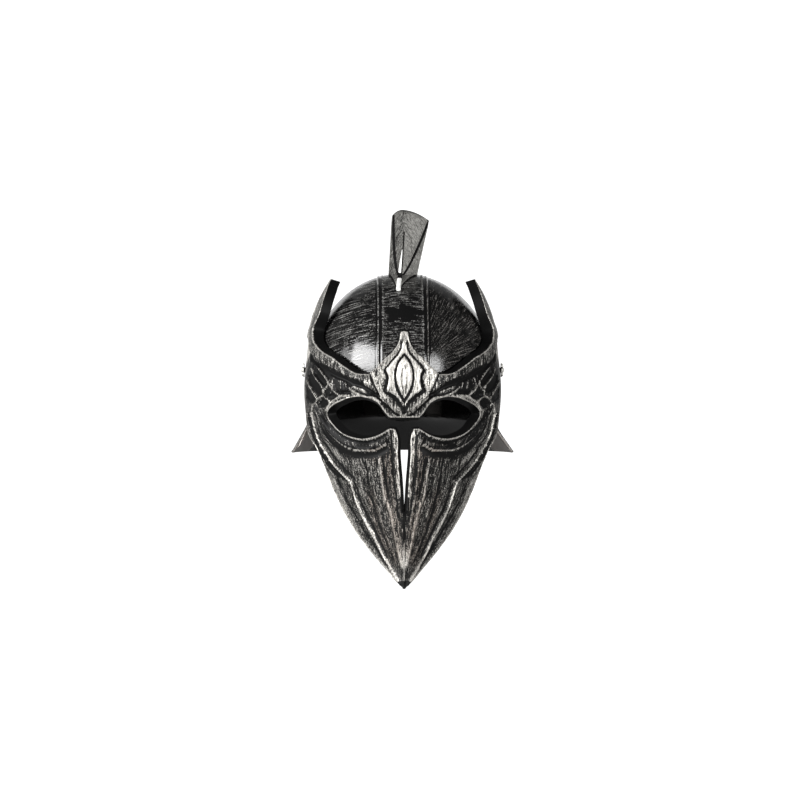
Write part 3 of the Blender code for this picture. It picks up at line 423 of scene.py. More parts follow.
# %% Areas of the mask
Area = namedtuple("Area", "height slope paint points")
AREAS = (
    # Brow band with all that lies above it
    Area(2.0, 2.0, 0.12, ((311.2, 340), (312.5, 353), (319.5, 361), (332, 369.5), (347, 377.5),
         (362, 383.5), (378, 394), (388, 405), (398, 414.5), (404.3, 416), (404.3, 250), (250, 250),
         (280, 340))),
    # Ornament, and the white plate inside its frame
    Area(1.4, 1.5, 0.45, ((370.5, 372.5), (375, 385.5), (380, 396), (388, 404), (397, 412.5),
         (404.3, 414.5), (404.3, 250), (360, 250))),
    Area(0.9, 1.2, 1.0, ((403.4, 341.5), (401.4, 350), (399, 354.8), (393.8, 360.8), (386.8, 370.6),
         (389, 376.2), (389, 382.1), (387, 389.5), (388.6, 391.6), (395, 395.6), (400.4, 401.5),
         (403.2, 407.4), (404.3, 412), (404.3, 339))),
    # The silver thins out towards the ornament's lower point
    Area(0.0, 9.0, -0.7, ((404.3, 380), (384, 382), (380, 392), (388, 405), (398, 415), (404.3, 417))),
    # Lens
    Area(1.7, 3.6, 0.1, ((404.3, 359), (400, 366), (398, 374), (398, 381), (399.6, 387), (404.3, 397))),
    # Smooth bright strip along the outer edge of the wing and the temple
    Area(0.0, 1.0, 0.35, ((311.6, 300), (311.9, 352), (308, 362), (307.6, 412), (290, 412), (290, 270),
         (325, 270))),
    # The wing is thinner towards its tip
    Area(-1.9, 20.0, 0.0, ((250, 200), (404.3, 200), (404.3, 334), (250, 334))),
    # Smooth light plate beside the cheek's ridge, and the black tip of the chin
    Area(0.0, 3.0, 0.3, ((316.5, 409), (321, 419), (331, 440), (345, 458), (352, 470), (340, 462),
         (326, 443), (318, 425))),
    Area(0.0, 1.5, -1.8, ((392, 584), (404.3, 579), (404.3, 600), (380, 600))),
    # Darker temple, and darker ground under the eye
    Area(0.0, 3.0, -0.3, ((313, 353), (330, 373), (350, 383), (352, 392), (335, 400), (318, 405),
         (308, 405), (308, 372))),
    Area(0.0, 1.0, 0.4, ((312, 340), (312, 352), (308.5, 363), (290, 363), (290, 340))),
    Area(0.0, 3.0, -0.25, ((318, 404), (334, 430), (350, 442), (379, 444), (388, 437), (389, 457),
         (352, 461), (328, 448), (315, 417))),
    # Outer facet of the jaw
    Area(0.0, 4.0, 0.3, ((322, 462), (337, 479), (347, 505), (362, 535), (380, 562), (396, 582),
         (384, 582), (356, 556), (334, 520), (318, 485))),
    # Pockets between the feathers
    Area(-1.5, 1.0, -1.0, ((317.3, 365.6), (330.1, 382.4), (328.6, 385.7), (325.5, 386), (321.9, 384),
         (318.9, 379.9), (315.8, 373.8))),
    Area(-1.3, 1.0, -0.8, ((309.2, 375), (313.8, 373.4), (321.4, 385.5), (323.5, 391), (321.9, 393.4),
         (318.3, 393.4), (314.3, 389.1), (310.2, 382.4))),
    Area(-1.2, 1.0, -0.8, ((307.7, 386), (310.2, 390.6), (316.6, 399), (314, 402.4), (310.2, 400.4),
         (307.7, 397.2))),
    Area(-0.9, 1.0, -0.6, ((312.5, 352.9), (319.4, 365.6), (330.6, 374.6), (330.2, 380.2), (322, 370),
         (312.5, 360))),
    # Pockets round the outer corner of the eye
    Area(-1.5, 0.9, -1.2, ((334.7, 388.6), (339.8, 390.9), (350.5, 390.6), (351.5, 393.9), (344.9, 394.4),
         (338.8, 392.6))),
    Area(-1.4, 0.9, -1.2, ((331.4, 392.4), (337.8, 396), (335.7, 399), (331.6, 399.6), (329, 396.5))),
    Area(-1.2, 0.9, -1.1, ((326.2, 392.4), (328.8, 395.9), (326.3, 397.2))),
    Area(-1.4, 0.9, -1.1, ((323.2, 398.6), (328, 400.7), (328.6, 403.5), (325.5, 407.4), (320.6, 408),
         (319, 404.2))),
    # Hollow of the leaf over the eye
    Area(-1.0, 1.2, 0.1, ((348.6, 384.2), (352, 384.2), (363.6, 388.4), (371, 391.6), (378, 395.2),
         (366.6, 394.8), (358.5, 392.2), (352.9, 388.6))),
    # Dark cells of the notched strip
    Area(-0.9, 0.9, -0.9, ((309, 412), (313.2, 413.5), (315.2, 424.5), (318.3, 435.7), (322.4, 445),
         (328.4, 455.2), (334.4, 464.4), (343, 474), (350, 481.5), (336, 475.5), (327, 463.6),
         (321.2, 454), (316, 443), (312.2, 432), (309.8, 421))),
)

# Line of the cheek round which a brown wash shows through the silver
TINTED = ((372, 455), (387, 452), (390, 500), (399, 540), (395, 560), (380, 530), (371, 495))
print("areas:", len(AREAS))

# %% [markdown]
# ## The notched strip
#
# Outside the cheek's ridge runs a narrow strip with seven bars across it, like the edge of a coin.
# Each bar could be one more row of the table, but they all start on the ridge and grow a little
# longer downwards, so they are worked out from the ridge: only the rows they sit on are chosen.

# %% Bars of the notched strip
NOTCH = Line(1.0, 0.8, 1.0, ())
NOTCH_ROWS = (415.8, 427.8, 437.5, 445.4, 452.6, 460.2, 468.0)
NOTCH_SLANT = 1.2
NOTCH_LENGTHS = ((412, 468), (4.6, 6.0))


def notch_lines():
    """Cross bars of the notched strip: from the outer border to the cheek ridge at each chosen row."""
    ridge = np.array(CHEEK_RIDGE.points)
    ends = [float(np.interp(row, ridge[:, 1], ridge[:, 0])) for row in NOTCH_ROWS]
    starts = [end - float(np.interp(row, *NOTCH_LENGTHS)) for end, row in zip(ends, NOTCH_ROWS)]
    return tuple(NOTCH._replace(points=((start, row + NOTCH_SLANT), (end, row)))
                 for start, end, row in zip(starts, ends, NOTCH_ROWS))


print("bars:", len(notch_lines()), "the first one's ends:", np.round(notch_lines()[0].points, 1).tolist())

# %% [markdown]
# ## Adding the features up
#
# A line's cross section is a smooth hump, one minus the square of the distance over the half width,
# squared again. An area rises over its slope, with a rounded foot and shoulder. Heights add up, and
# so does the paint. Doing it for all points at once keeps the whole mask to a second or two.

# %% Height and paint of the relief
SMOOTH_STEP = 0.002
PAST_COLUMN = 303.0
PAST_RIM = 0.03
PAST_MIDDLE = -0.004


def hump(away, half_width):
    """(1 - (d/w)^2)^2 inside the half width, and nothing outside."""
    return np.clip(1.0 - (away / half_width)**2, 0.0, 1.0)**2


def rise(depth, slope):
    """A smooth step 3t^2 - 2t^3 over the slope, from the edge inwards."""
    t = np.clip(depth / slope, 0.0, 1.0)
    return t * t * (3.0 - 2.0 * t)


def lay_area(points):
    """An area's outline on the mask; its outer points go past the rim, its middle ones past the middle."""
    laid = from_picture(points)
    columns = np.array(points)[:, 0]
    laid[columns < PAST_COLUMN, 0] += PAST_RIM
    laid[columns >= MIDDLE_COLUMN_FRONT, 0] = PAST_MIDDLE
    return laid


def lay_line(points):
    """A line on the mask, made smooth where it has more than three points."""
    laid = from_picture(points)
    return smooth_run(laid, SMOOTH_STEP) if len(points) > 3 else laid


def relief(plane):
    """Height and paint of all features at points of the plane; one half's features serve both halves."""
    plane = np.column_stack([np.abs(plane[:, 0]), plane[:, 1]])
    height = np.zeros(len(plane))
    paint = np.zeros(len(plane))
    for line in LINES + notch_lines():
        away, _, _ = distance_to_line(plane, lay_line(line.points))
        height += line.height * MM * hump(away, line.half_width * MM)
        paint += line.paint * hump(away, line.half_width * MM)
    for area in AREAS:
        outline = lay_area(area.points)
        depth, _, _ = distance_to_line(plane, np.vstack([outline, outline[:1]]))
        share = rise(depth, area.slope * MM) * inside(plane, outline)
        height += area.height * MM * share
        paint += area.paint * share
    return height, paint


probe_height, probe_paint = relief(from_picture([(404.0, 376.0), (360.0, 448.0), (326.0, 382.0)]))
print("lens, roll and feather, heights in mm:", np.round(probe_height * 1000, 2))
print("lens, roll and feather, paint:", np.round(probe_paint, 2))

# %% [markdown]
# ## Meshes from arrays
#
# Every piece below comes as an array of points and an array of faces, with layers of numbers for the
# paint: cover says how much silver a point holds, and brush says how far along and across the
# strokes it lies. Normals are worked out from the faces, so that a wall can be given its inner side.

# %% Normals, borders and walls
def vertex_normals(points, faces):
    """Unit normal at each point: the sum of the cross products of the diagonals of its faces."""
    diagonal_one = points[faces[:, 2]] - points[faces[:, 0]]
    diagonal_two = points[faces[:, 3]] - points[faces[:, 1]]
    normal = np.cross(diagonal_one, diagonal_two)
    total = np.zeros_like(points)
    for corner in range(4):
        np.add.at(total, faces[:, corner], normal)
    return total / np.maximum(np.linalg.norm(total, axis=1, keepdims=True), 1e-18)


def border_edges(faces):
    """Directed edges that only one face uses, with that face on their left."""
    edges = np.vstack([np.stack([faces[:, k], faces[:, (k + 1) % 4]], -1) for k in range(4)])
    edges = edges[edges[:, 0] != edges[:, 1]]
    size = int(edges.max()) + 1
    forward = edges[:, 0].astype(np.int64) * size + edges[:, 1]
    backward = edges[:, 1].astype(np.int64) * size + edges[:, 0]
    return edges[~np.isin(forward, backward)]


def close_wall(outer, inner, faces, rings=()):
    """A closed wall: outer side, inner side turned over, and strips of quads over the rings between them.

    Each ring is an array like outer, of which only the border's points are used. The result is the
    points, the faces and, for each point, the number of the point of the outer side it came from and
    the layer it lies on: 0 outer, then the rings, and last the inner side.
    """
    edges = border_edges(faces)
    border = np.unique(edges)
    place = np.full(len(outer), -1)
    place[border] = np.arange(len(border))
    points = [outer] + [ring[border] for ring in rings] + [inner]
    came_from = [np.arange(len(outer))] + [border] * len(rings) + [np.arange(len(outer))]
    layer = np.concatenate([np.full(len(p), k) for k, p in enumerate(points)])
    starts = np.cumsum([0] + [len(p) for p in points])[:-1]
    numbers = [edges] + [place[edges] + starts[k + 1] for k in range(len(rings))] + [edges + starts[-1]]
    strips = [np.stack([a[:, 1], a[:, 0], b[:, 0], b[:, 1]], -1) for a, b in zip(numbers, numbers[1:])]
    all_faces = np.vstack([faces, faces[:, ::-1] + starts[-1]] + strips)
    return np.vstack(points), all_faces, np.concatenate(came_from), layer


flat_square = np.array([(0, 0, 0), (1, 0, 0), (1, 1, 0), (0, 1, 0)], float)
print("normal of a flat square:", vertex_normals(flat_square, np.array([[0, 1, 2, 3]]))[0].tolist())

# %% From arrays to a piece
def new_piece(name, points, faces, layers, sharp=50.0):
    """A mesh object from points and quads, a repeated corner making a triangle, with its paint layers."""
    mesh = bpy.data.meshes.new(name)
    triangle = (faces == np.roll(faces, -1, axis=1)).any(1)
    corners = [list(dict.fromkeys(f)) for f in faces[triangle].tolist()]
    mesh.from_pydata(points.tolist(), [], faces[~triangle].tolist() + corners)
    for layer, values in layers.items():
        kind, field = ("FLOAT_VECTOR", "vector") if values.ndim == 2 else ("FLOAT", "value")
        stored = mesh.attributes.new(layer, kind, "POINT")
        stored.data.foreach_set(field, values.astype(np.float32).ravel())
    mesh.polygons.foreach_set("use_smooth", np.ones(len(mesh.polygons), bool))
    mesh.set_sharp_from_angle(angle=math.radians(sharp))
    mesh.validate()
    piece = bpy.data.objects.new(name, mesh)
    bpy.context.scene.collection.objects.link(piece)
    print(name, "points:", len(points), "faces:", len(faces))
    return piece


def place_piece(piece, body, node):
    """Give the piece its body, and hide the plain piece it stands for."""
    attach(piece, body)
    if node:
        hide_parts(node)


# %% [markdown]
# ## The mask's grid
#
# The mask could be one grid from rim to rim, but its outline has wings, eyes and a slot. So the
# plane of arc and height is cut into small cells, finest where the ornament and the feathers are,
# and the cells whose middle lies on the mask stay, as a mosaic fills a drawn shape.

# %% Cells of the mask
Span = namedtuple("Span", "start end step")
ARC_SPANS = (Span(0.0, 0.185, 0.00095), Span(0.185, 0.215, 0.0015))
HEIGHT_SPANS = (Span(-0.2025, -0.120, 0.0025), Span(-0.120, -0.056, 0.0017), Span(-0.056, 0.023, 0.00095),
                Span(0.023, 0.088, 0.0030))
TRIM_ROUNDS = 4


def graded(spans):
    """Positions in even steps along each span."""
    runs = [np.linspace(s.start, s.end, int(round((s.end - s.start) / s.step)) + 1) for s in spans]
    return np.concatenate([run[:-1] for run in runs] + [runs[-1][-1:]])


def mask_outline():
    """The whole mask's outline as a loop, from the half rim and its mirror image, and then the hole's."""
    rim = np.vstack([RIM[:, :2], (RIM[::-1, :2] * (-1, 1))[1:-1]])
    eye = np.vstack([EYE[:, :2], (EYE[::-1, :2] * (-1, 1))[1:-1]])
    return rim, eye


def mask_cells():
    """Corner points in the plane and quads of the cells inside the rim and outside the eye openings.

    Cells with fewer than two neighbours and cells that touch by a corner alone are dropped.
    """
    half = graded(ARC_SPANS)
    arcs = np.concatenate([-half[:0:-1], half])
    heights = graded(HEIGHT_SPANS)
    grid = np.stack(np.meshgrid(arcs, heights), -1)
    middle = (grid[:-1, :-1] + grid[1:, 1:]) / 2
    rim, eye = mask_outline()
    flat = middle.reshape(-1, 2)
    keep = (inside(flat, rim) & ~inside(flat, eye)).reshape(middle.shape[:2])
    for _ in range(TRIM_ROUNDS):
        padded = np.pad(keep, 1).astype(int)
        beside = padded[:-2, 1:-1] + padded[2:, 1:-1] + padded[1:-1, :-2] + padded[1:-1, 2:]
        keep &= beside > 1
        pinch_one = keep[:-1, :-1] & keep[1:, 1:] & ~keep[:-1, 1:] & ~keep[1:, :-1]
        pinch_two = ~keep[:-1, :-1] & ~keep[1:, 1:] & keep[:-1, 1:] & keep[1:, :-1]
        keep[:-1, :-1] &= ~pinch_one
        keep[:-1, 1:] &= ~pinch_two
    rows, columns = np.nonzero(keep)
    wide = len(arcs)
    corner = rows * wide + columns
    quads = np.stack([corner, corner + 1, corner + wide + 1, corner + wide], -1)
    used, numbers = np.unique(quads, return_inverse=True)
    return grid.reshape(-1, 2)[used], numbers.reshape(quads.shape)


mask_plane, mask_quads = mask_cells()
print("mask cells:", len(mask_quads), "points:", len(mask_plane))

# %% [markdown]
# ## Smoothing the mosaic's edge
#
# The kept cells leave stairs along the rim. Cutting the cells at the rim would make slivers, so the
# border's points slide onto the rim instead, even out along it and slide back, while the points
# near them follow. The rim's distance and direction are noted too: the flange and the paint use them.

# %% Fit the mask's border
RELAX_ROUNDS = 6
RELAX_REACH = 0.0035


def fit_border(plane, quads):
    """Slide the border onto the outline, evened out along it, and let the points near it follow.

    The result is the moved points, their distance from the outline, the direction away from it, the
    lip's depth at the nearest place of the outline, and whether that place is on the eye openings.
    """
    rim, eye = mask_outline()
    loops = [np.vstack([loop, loop[:1]]) for loop in (rim, eye)]
    edges = border_edges(quads)
    after = np.zeros(len(plane), int)
    before = np.zeros(len(plane), int)
    after[edges[:, 0]] = edges[:, 1]
    before[edges[:, 1]] = edges[:, 0]
    border = edges[:, 0]
    links = np.vstack([np.stack([quads[:, k], quads[:, (k + 1) % 4]], -1) for k in range(4)])
    away = np.minimum(*[distance_to_line(plane, loop)[0] for loop in loops])
    follow = np.setdiff1d(np.nonzero(away < RELAX_REACH)[0], border)
    count = np.bincount(links[:, 0], minlength=len(plane))

    def snap():
        """Put each border point on the nearest place of the nearer loop."""
        found = [distance_to_line(plane[border], loop) for loop in loops]
        nearer = found[0][0] < found[1][0]
        plane[border] = np.where(nearer[:, None], found[0][1], found[1][1])

    for _ in range(RELAX_ROUNDS):
        snap()
        plane[border] = plane[border] / 2 + (plane[after[border]] + plane[before[border]]) / 4
        total = np.zeros_like(plane)
        np.add.at(total, links[:, 0], plane[links[:, 1]])
        backward = np.zeros_like(plane)
        np.add.at(backward, links[:, 1], plane[links[:, 0]])
        degree = count + np.bincount(links[:, 1], minlength=len(plane))
        mean = (total + backward) / degree[:, None]
        plane[follow] = (plane[follow] + mean[follow]) / 2
    snap()
    ahead = plane[after[border]] - plane[before[border]]
    ahead /= np.maximum(np.linalg.norm(ahead, axis=1, keepdims=True), 1e-12)
    inward = np.zeros_like(plane)
    inward[border] = np.stack([-ahead[:, 1], ahead[:, 0]], -1)
    found = [distance_to_line(plane, loop) for loop in loops]
    nearer = found[0][0] < found[1][0]
    away = np.where(nearer, found[0][0], found[1][0])
    nearest = np.where(nearer[:, None], found[0][1], found[1][1])
    loose = np.setdiff1d(np.arange(len(plane)), border)
    inward[loose] = (plane[loose] - nearest[loose]) / np.maximum(away[loose], 1e-9)[:, None]
    lips = [np.concatenate([edge[:, 2], edge[::-1, 2][1:-1], edge[:1, 2]]) for edge in (RIM, EYE)]
    lip = np.where(nearer, lips[0][found[0][2]], lips[1][found[1][2]])
    return plane, away, inward, lip, ~nearer


mask_plane, edge_distance, edge_inward, lip_share, beside_eye = fit_border(mask_plane, mask_quads)
border_count = len(np.unique(border_edges(mask_quads)))
print("border points:", border_count, "points nearer the eyes than the rim:", int(beside_eye.sum()))

# %% [markdown]
# ## The mask as a fine surface
#
# The real mask is a moulding with its relief in the wall, and round its rim the plastic turns back
# in a flange. Displacing a plain mask by a picture could give the relief, but here every point
# simply moves out along the mask's normal by the relief's height. On the brow and round the eyes
# the flange also leans away from the plate, so that a black line shows beside the bright edge.

# %% Shape the mask's wall
CORNER_ROUND = 0.0004
CORNER_SHOWN = 0.0006
INNER_REACH = 0.008
FLANGE_LEAN = 0.50
LEAN_ABOVE = -0.03
LEAN_WITHIN = 0.14
ON_BORDER = 1e-6
RIM_BRIGHT = Line(0.5, 1.2, 0.9, ())
EYE_RIM_HALF_WIDTH = 1.7


def lift(plane, height):
    """Points of the plane placed on the mask, at a height along its normal."""
    arc, z = plane.T
    return mask_point(arc, z) + mask_normal(arc, z) * np.reshape(height, (-1, 1)) + PIVOT


mask_arc, mask_height = mask_plane.T
relief_height, relief_paint = relief(mask_plane)
rim_half_width = np.where(beside_eye, EYE_RIM_HALF_WIDTH, RIM_BRIGHT.half_width)
rim_hump = hump(edge_distance, rim_half_width * MM)
outer_height = relief_height + RIM_BRIGHT.height * MM * rim_hump

faces_front = np.abs(mask_normal(mask_arc, mask_height)[:, 1])
flange = lip_share * LIP_DEPTH
leans = (beside_eye | (mask_height > LEAN_ABOVE)) & (np.abs(mask_arc) < LEAN_WITHIN)
leaning = -edge_inward * (FLANGE_LEAN * faces_front * leans * flange)[:, None]
walled = edge_inward * MASK_WALL
rounded = edge_inward * (CORNER_ROUND * (edge_distance < ON_BORDER))[:, None]
shown_share = (CORNER_SHOWN / flange)[:, None]
shift = np.clip(1.0 - edge_distance / INNER_REACH, 0.0, 1.0)[:, None]

mask_outer = lift(mask_plane + rounded, outer_height)
corner_ring = lift(mask_plane, outer_height - CORNER_ROUND)
shown_ring = lift(mask_plane + leaning * shown_share, np.full(len(mask_plane), -CORNER_SHOWN))
front_ring = lift(mask_plane + leaning, -flange)
back_ring = lift(mask_plane + leaning + walled, -flange)
mask_inner = lift(mask_plane + walled * shift, np.full(len(mask_plane), -MASK_WALL))
mask_rings = (corner_ring, shown_ring, front_ring, back_ring)
points, faces, source, layer = close_wall(mask_outer, mask_inner, mask_quads, mask_rings)
relief_span = [round(float(end) / MM, 1) for end in (relief_height.min(), relief_height.max())]
print("relief from and to, in mm:", relief_span)

# %% [markdown]
# ## Brushing the mask
#
# On the real mask the brush was pulled down the face, so the strokes run from the brow to the chin
# and draw together as the jaw narrows. Silver stays on the ridges and the corners, and a brown wash
# shows beside the nose. Painting by hand could place each stroke. Here three layers of numbers say
# for every point how much silver there is, where it lies along and across the strokes, and its tint.

# %% Paint layers of the mask
BASE_COVER = 0.34
PAINT_WEIGHT = 0.5
CORNER_COVER = 0.8
BARE = -0.6
SLOT_END_BELOW = -0.117
STROKE_SPREAD = 0.14
NARROWEST_JAW = 0.02
TINT_REACH = 0.012
TINT_STRENGTH = 0.45


def jaw_width(z):
    """Arc of the mask's outer edge at height z, where the strokes of the brush spread out to."""
    rim = RIM[:RIM[:, 1].argmax()]
    order = rim[:, 1].argsort()
    return np.interp(z, rim[order, 1], rim[order, 0])


slot_end = beside_eye & (mask_height < SLOT_END_BELOW)
rim_paint = np.where(slot_end, -1.0, RIM_BRIGHT.paint) * rim_hump
cover = BASE_COVER + PAINT_WEIGHT * (relief_paint + rim_paint)
across = mask_arc / np.maximum(jaw_width(mask_height), NARROWEST_JAW) * STROKE_SPREAD
to_tint, _, _ = distance_to_line(np.column_stack([np.abs(mask_arc), mask_height]), from_picture(TINTED))
tinted = TINT_STRENGTH * rise(TINT_REACH - to_tint, TINT_REACH)
corner_lit = (layer == 1) & ~slot_end[source]
mask_layers = {
    "cover": np.where(layer == 0, cover[source], np.where(corner_lit, CORNER_COVER, BARE)),
    "brush": np.stack([across, mask_height, np.zeros(len(across))], -1)[source],
    "tint": (layer <= 1) * tinted[source],
}
fine_mask = new_piece("fine_face_mask", points, faces, mask_layers)
place_piece(fine_mask, "visor", "face_mask")

# %% [markdown]
# ## The skull shell
#
# A dome could be turned round the vertical, but its two ribs run straight from brow to nape. So its
# grid runs that way too: each column is a cut through the dome at one distance from the middle, and
# the columns meet at the temples. Below its widest level the wall goes straight down, cut away for the
# face, and flares out over the neck.

# %% Sizes of the skull shell
SKIRT_DROP = 0.078
FLARE = 0.020
FLARE_START = 0.045
FLARE_CURVE = 1.6
RIB_SPACING = 0.042
RIBS_ASIDE = 0.0007
RIB_CLEAR = 0.0009
RIB_FADE = 0.003
COLUMN_STEP = math.radians(1.1)
DOME_ROWS = 132
SKIRT_ROWS = 26
EQUATOR = np.array([0.0, 0.0, SKULL_WALL - SKULL_RISE])
Cut = namedtuple("Cut", "forward drop")
FACE_CUT = (
    Cut(0.03, 0.0780), Cut(0.06, 0.0760), Cut(0.075, 0.0440), Cut(0.24, 0.0395),
    Cut(0.36, 0.0300), Cut(0.50, 0.0158), Cut(0.68, 0.0100), Cut(1.20, 0.0100),
)
Profile = namedtuple("Profile", "out height paint")
RIB_PROFILE = (
    Profile(-4.4, 0.0, 0.0), Profile(-3.3, -0.05, 0.1), Profile(-2.6, 0.5, 0.5),
    Profile(-1.9, 0.7, 0.0), Profile(-1.1, 0.4, -0.9), Profile(0.0, 0.3, -1.0),
    Profile(0.8, 0.5, -0.4), Profile(1.5, 0.8, 0.6), Profile(2.2, 0.7, 0.3),
    Profile(2.8, 0.0, -0.7), Profile(3.6, -0.15, -1.0), Profile(4.6, 0.0, 0.0),
)
RIB_OUT = np.array([p.out for p in RIB_PROFILE]) * MM
print("a rib with its grooves is", round((RIB_OUT[-1] - RIB_OUT[0]) / MM, 1), "mm wide")

# %% [markdown]
# ## The dome's grid
#
# A grid that meets the ribs at an angle would blur their edges. A finer mesh would help, at the cost
# of many more faces. Here a column of the grid lies exactly on each crease of a rib instead, and the
# even columns that would come too close to one are left out. The skirt hangs from the dome's widest
# ring, row by row, each row a share of the way down to the cut edge.

# %% Grid of the dome and the skirt
def dome_columns():
    """Sides of the grid's columns, from the left pole to the right one, with the ribs' creases."""
    even = SKULL_HALF_WIDTH * np.sin(np.arange(-math.pi / 2, math.pi / 2 + 1e-6, COLUMN_STEP))
    ribs = np.concatenate([way * (RIB_SPACING / 2 + RIB_OUT) for way in (-1, 1)]) - RIBS_ASIDE
    clear = np.abs(even[:, None] - ribs).min(1) > RIB_CLEAR
    sides = np.sort(np.concatenate([even[clear], ribs]))
    sides[0], sides[-1] = -SKULL_HALF_WIDTH, SKULL_HALF_WIDTH
    return sides


def dome_point(side, turn):
    """Ellipsoid cut at x = side: y = length s sin t, z = rise s cos t, s = sqrt(1 - (side/width)^2)."""
    shrink = np.sqrt(np.clip(1.0 - (side / SKULL_HALF_WIDTH)**2, 0.0, 1.0))
    y = SKULL_HALF_LENGTH * shrink * np.sin(turn)
    z = SKULL_RISE * shrink * np.cos(turn)
    return np.stack([side, y, z], -1)


def flare_at(drop):
    """How far the skirt stands out: a power of the share of the way from flare's start to edge."""
    share = np.clip((drop - FLARE_START) / (SKIRT_DROP - FLARE_START), 0.0, 1.0)
    return FLARE * share**FLARE_CURVE


def grid_quads(number):
    """Quads between the rows and the columns of an array of point numbers."""
    quads = np.stack([number[:-1, :-1], number[1:, :-1], number[1:, 1:], number[:-1, 1:]], -1)
    return quads.reshape(-1, 4)


def dome_grid():
    """Points and quads of the dome and skirt, with each point's side, turn and drop."""
    sides = dome_columns()
    turns = np.linspace(-math.pi / 2, math.pi / 2, DOME_ROWS + 1)
    side, turn = (a.ravel() for a in np.meshgrid(sides[1:-1], turns, indexing="ij"))
    tall = len(turns)
    wide = len(sides) - 2
    number = np.arange(wide * tall).reshape(wide, tall) + 1
    last = wide * tall + 1
    quads = [grid_quads(number)]
    pole = np.zeros(tall - 1, int)
    quads.append(np.stack([pole, number[0, :-1], number[0, 1:], number[0, 1:]], -1))
    quads.append(np.stack([pole + last, number[-1, 1:], number[-1, :-1], number[-1, :-1]], -1))
    side = np.concatenate([sides[:1], side, sides[-1:]])
    turn = np.concatenate([[0.0], turn, [0.0]])
    ring = np.concatenate([[0], number[:, 0], [last], number[::-1, -1]])
    ring_turn = np.concatenate([[0.0], turn[number[:, 0]], [0.0], turn[number[::-1, -1]]])
    dome = dome_point(side, turn)
    dome[[0, last]] = [(-SKULL_HALF_WIDTH, 0.0, 0.0), (SKULL_HALF_WIDTH, 0.0, 0.0)]
    around_x = side[ring] / SKULL_HALF_WIDTH
    around_y = np.sign(ring_turn) * np.sqrt(np.clip(1.0 - around_x**2, 0.0, 1.0))
    bottom = np.interp(-around_y, [c.forward for c in FACE_CUT], [c.drop for c in FACE_CUT])
    share = np.arange(1, SKIRT_ROWS + 1) / SKIRT_ROWS
    drop = share[:, None] * bottom
    out = flare_at(drop)
    skirt_x = around_x * (SKULL_HALF_WIDTH + out)
    skirt_y = around_y * (SKULL_HALF_LENGTH + out)
    skirt = np.stack([skirt_x, skirt_y, -drop], -1)
    count = len(ring)
    rows = np.vstack([ring, np.arange(SKIRT_ROWS * count).reshape(SKIRT_ROWS, count) + last + 1])
    ahead = np.roll(rows, -1, axis=1)
    quads.append(np.stack([rows[1:], ahead[1:], ahead[:-1], rows[:-1]], -1).reshape(-1, 4))
    side = np.concatenate([side, np.tile(side[ring], SKIRT_ROWS)])
    turn = np.concatenate([turn, np.tile(ring_turn, SKIRT_ROWS)])
    drop = np.concatenate([np.zeros(len(dome)), drop.ravel()])
    return np.vstack([dome, skirt.reshape(-1, 3)]), np.vstack(quads), side, turn, drop


dome, dome_quads, side, turn, drop = dome_grid()
print("dome and skirt points:", len(dome), "quads:", len(dome_quads))

# %% The ribs and the shell's wall
def rib_relief(side, drop):
    """Height and paint of the two ribs, which end where the skirt flares over the neck."""
    out = np.abs(side + RIBS_ASIDE) - RIB_SPACING / 2
    stays = np.clip((FLARE_START - drop) / RIB_FADE, 0.0, 1.0)
    height = np.interp(out, RIB_OUT, [p.height * MM for p in RIB_PROFILE], left=0.0, right=0.0)
    paint = np.interp(out, RIB_OUT, [p.paint for p in RIB_PROFILE], left=0.0, right=0.0)
    return height * stays, paint * stays


normals = vertex_normals(dome, dome_quads)
rib_height, rib_paint = rib_relief(side, drop)
outer = dome + normals * rib_height[:, None] + EQUATOR
inner = dome - normals * SKULL_WALL + EQUATOR
points, faces, source, layer = close_wall(outer, inner, dome_quads)
print("normal up at the crown:", np.round(normals[dome[:, 2].argmax()], 2))

# %% [markdown]
# ## Brushing the skull
#
# Each panel of the real shell was brushed on its own: in low arcs on the left and in the middle, and
# in long strokes that fan out on the right. A single direction would look machine made, so the brush
# layer bends: on the right it follows the angle round a point low beside the rib. One patch in the
# middle, with a ragged outline, was left black, and the inside of the neck flare is evenly grey.

# %% Paint layers of the skull
LEFT_COVER = 0.32
MIDDLE_COVER = 0.36
RIGHT_COVER = 0.30
RIGHT_TINT = 0.35
STROKE_BOW = 3.0
STROKE_DEPTH = 0.5
FAN_FOOT = (0.010, -0.002)
FAN_REACH = 0.090
FAN_BACKWARD = 0.6
FAN_STRETCH = 0.3
BLOTCH_MIDDLE = (-0.0003, 0.0511)
BLOTCH_REACH = (0.0165, 0.0072)
BLOTCH_FADE = 0.2
RIB_WEIGHT = 0.4
BLOTCH_WEIGHT = 0.9
Wave = namedtuple("Wave", "height count start")
BLOTCH_WAVES = (Wave(0.22, 5, 0.6), Wave(0.18, 8, 1.0), Wave(0.10, 15, 2.0))
GREY_BELOW = 0.012
GREY_ASIDE = 0.070
GREY_FADE = 0.010
GREY_COVER = 1.3

# Strokes: bowed over the left and the middle panel, a fan from below on the right panel
right_panel = side > RIB_SPACING / 2
left_panel = side < -RIB_SPACING / 2
fan_side = side - FAN_FOOT[0] + FAN_BACKWARD * np.maximum(dome[:, 1], 0.0)
fan_height = dome[:, 2] - FAN_FOOT[1]
fan_across = FAN_REACH * np.arctan2(fan_height, fan_side)
fan_along = FAN_STRETCH * np.hypot(fan_side, fan_height)
across = np.where(right_panel, fan_across, dome[:, 2] + STROKE_BOW * side**2)
along = np.where(right_panel, fan_along, side) + STROKE_DEPTH * dome[:, 1]

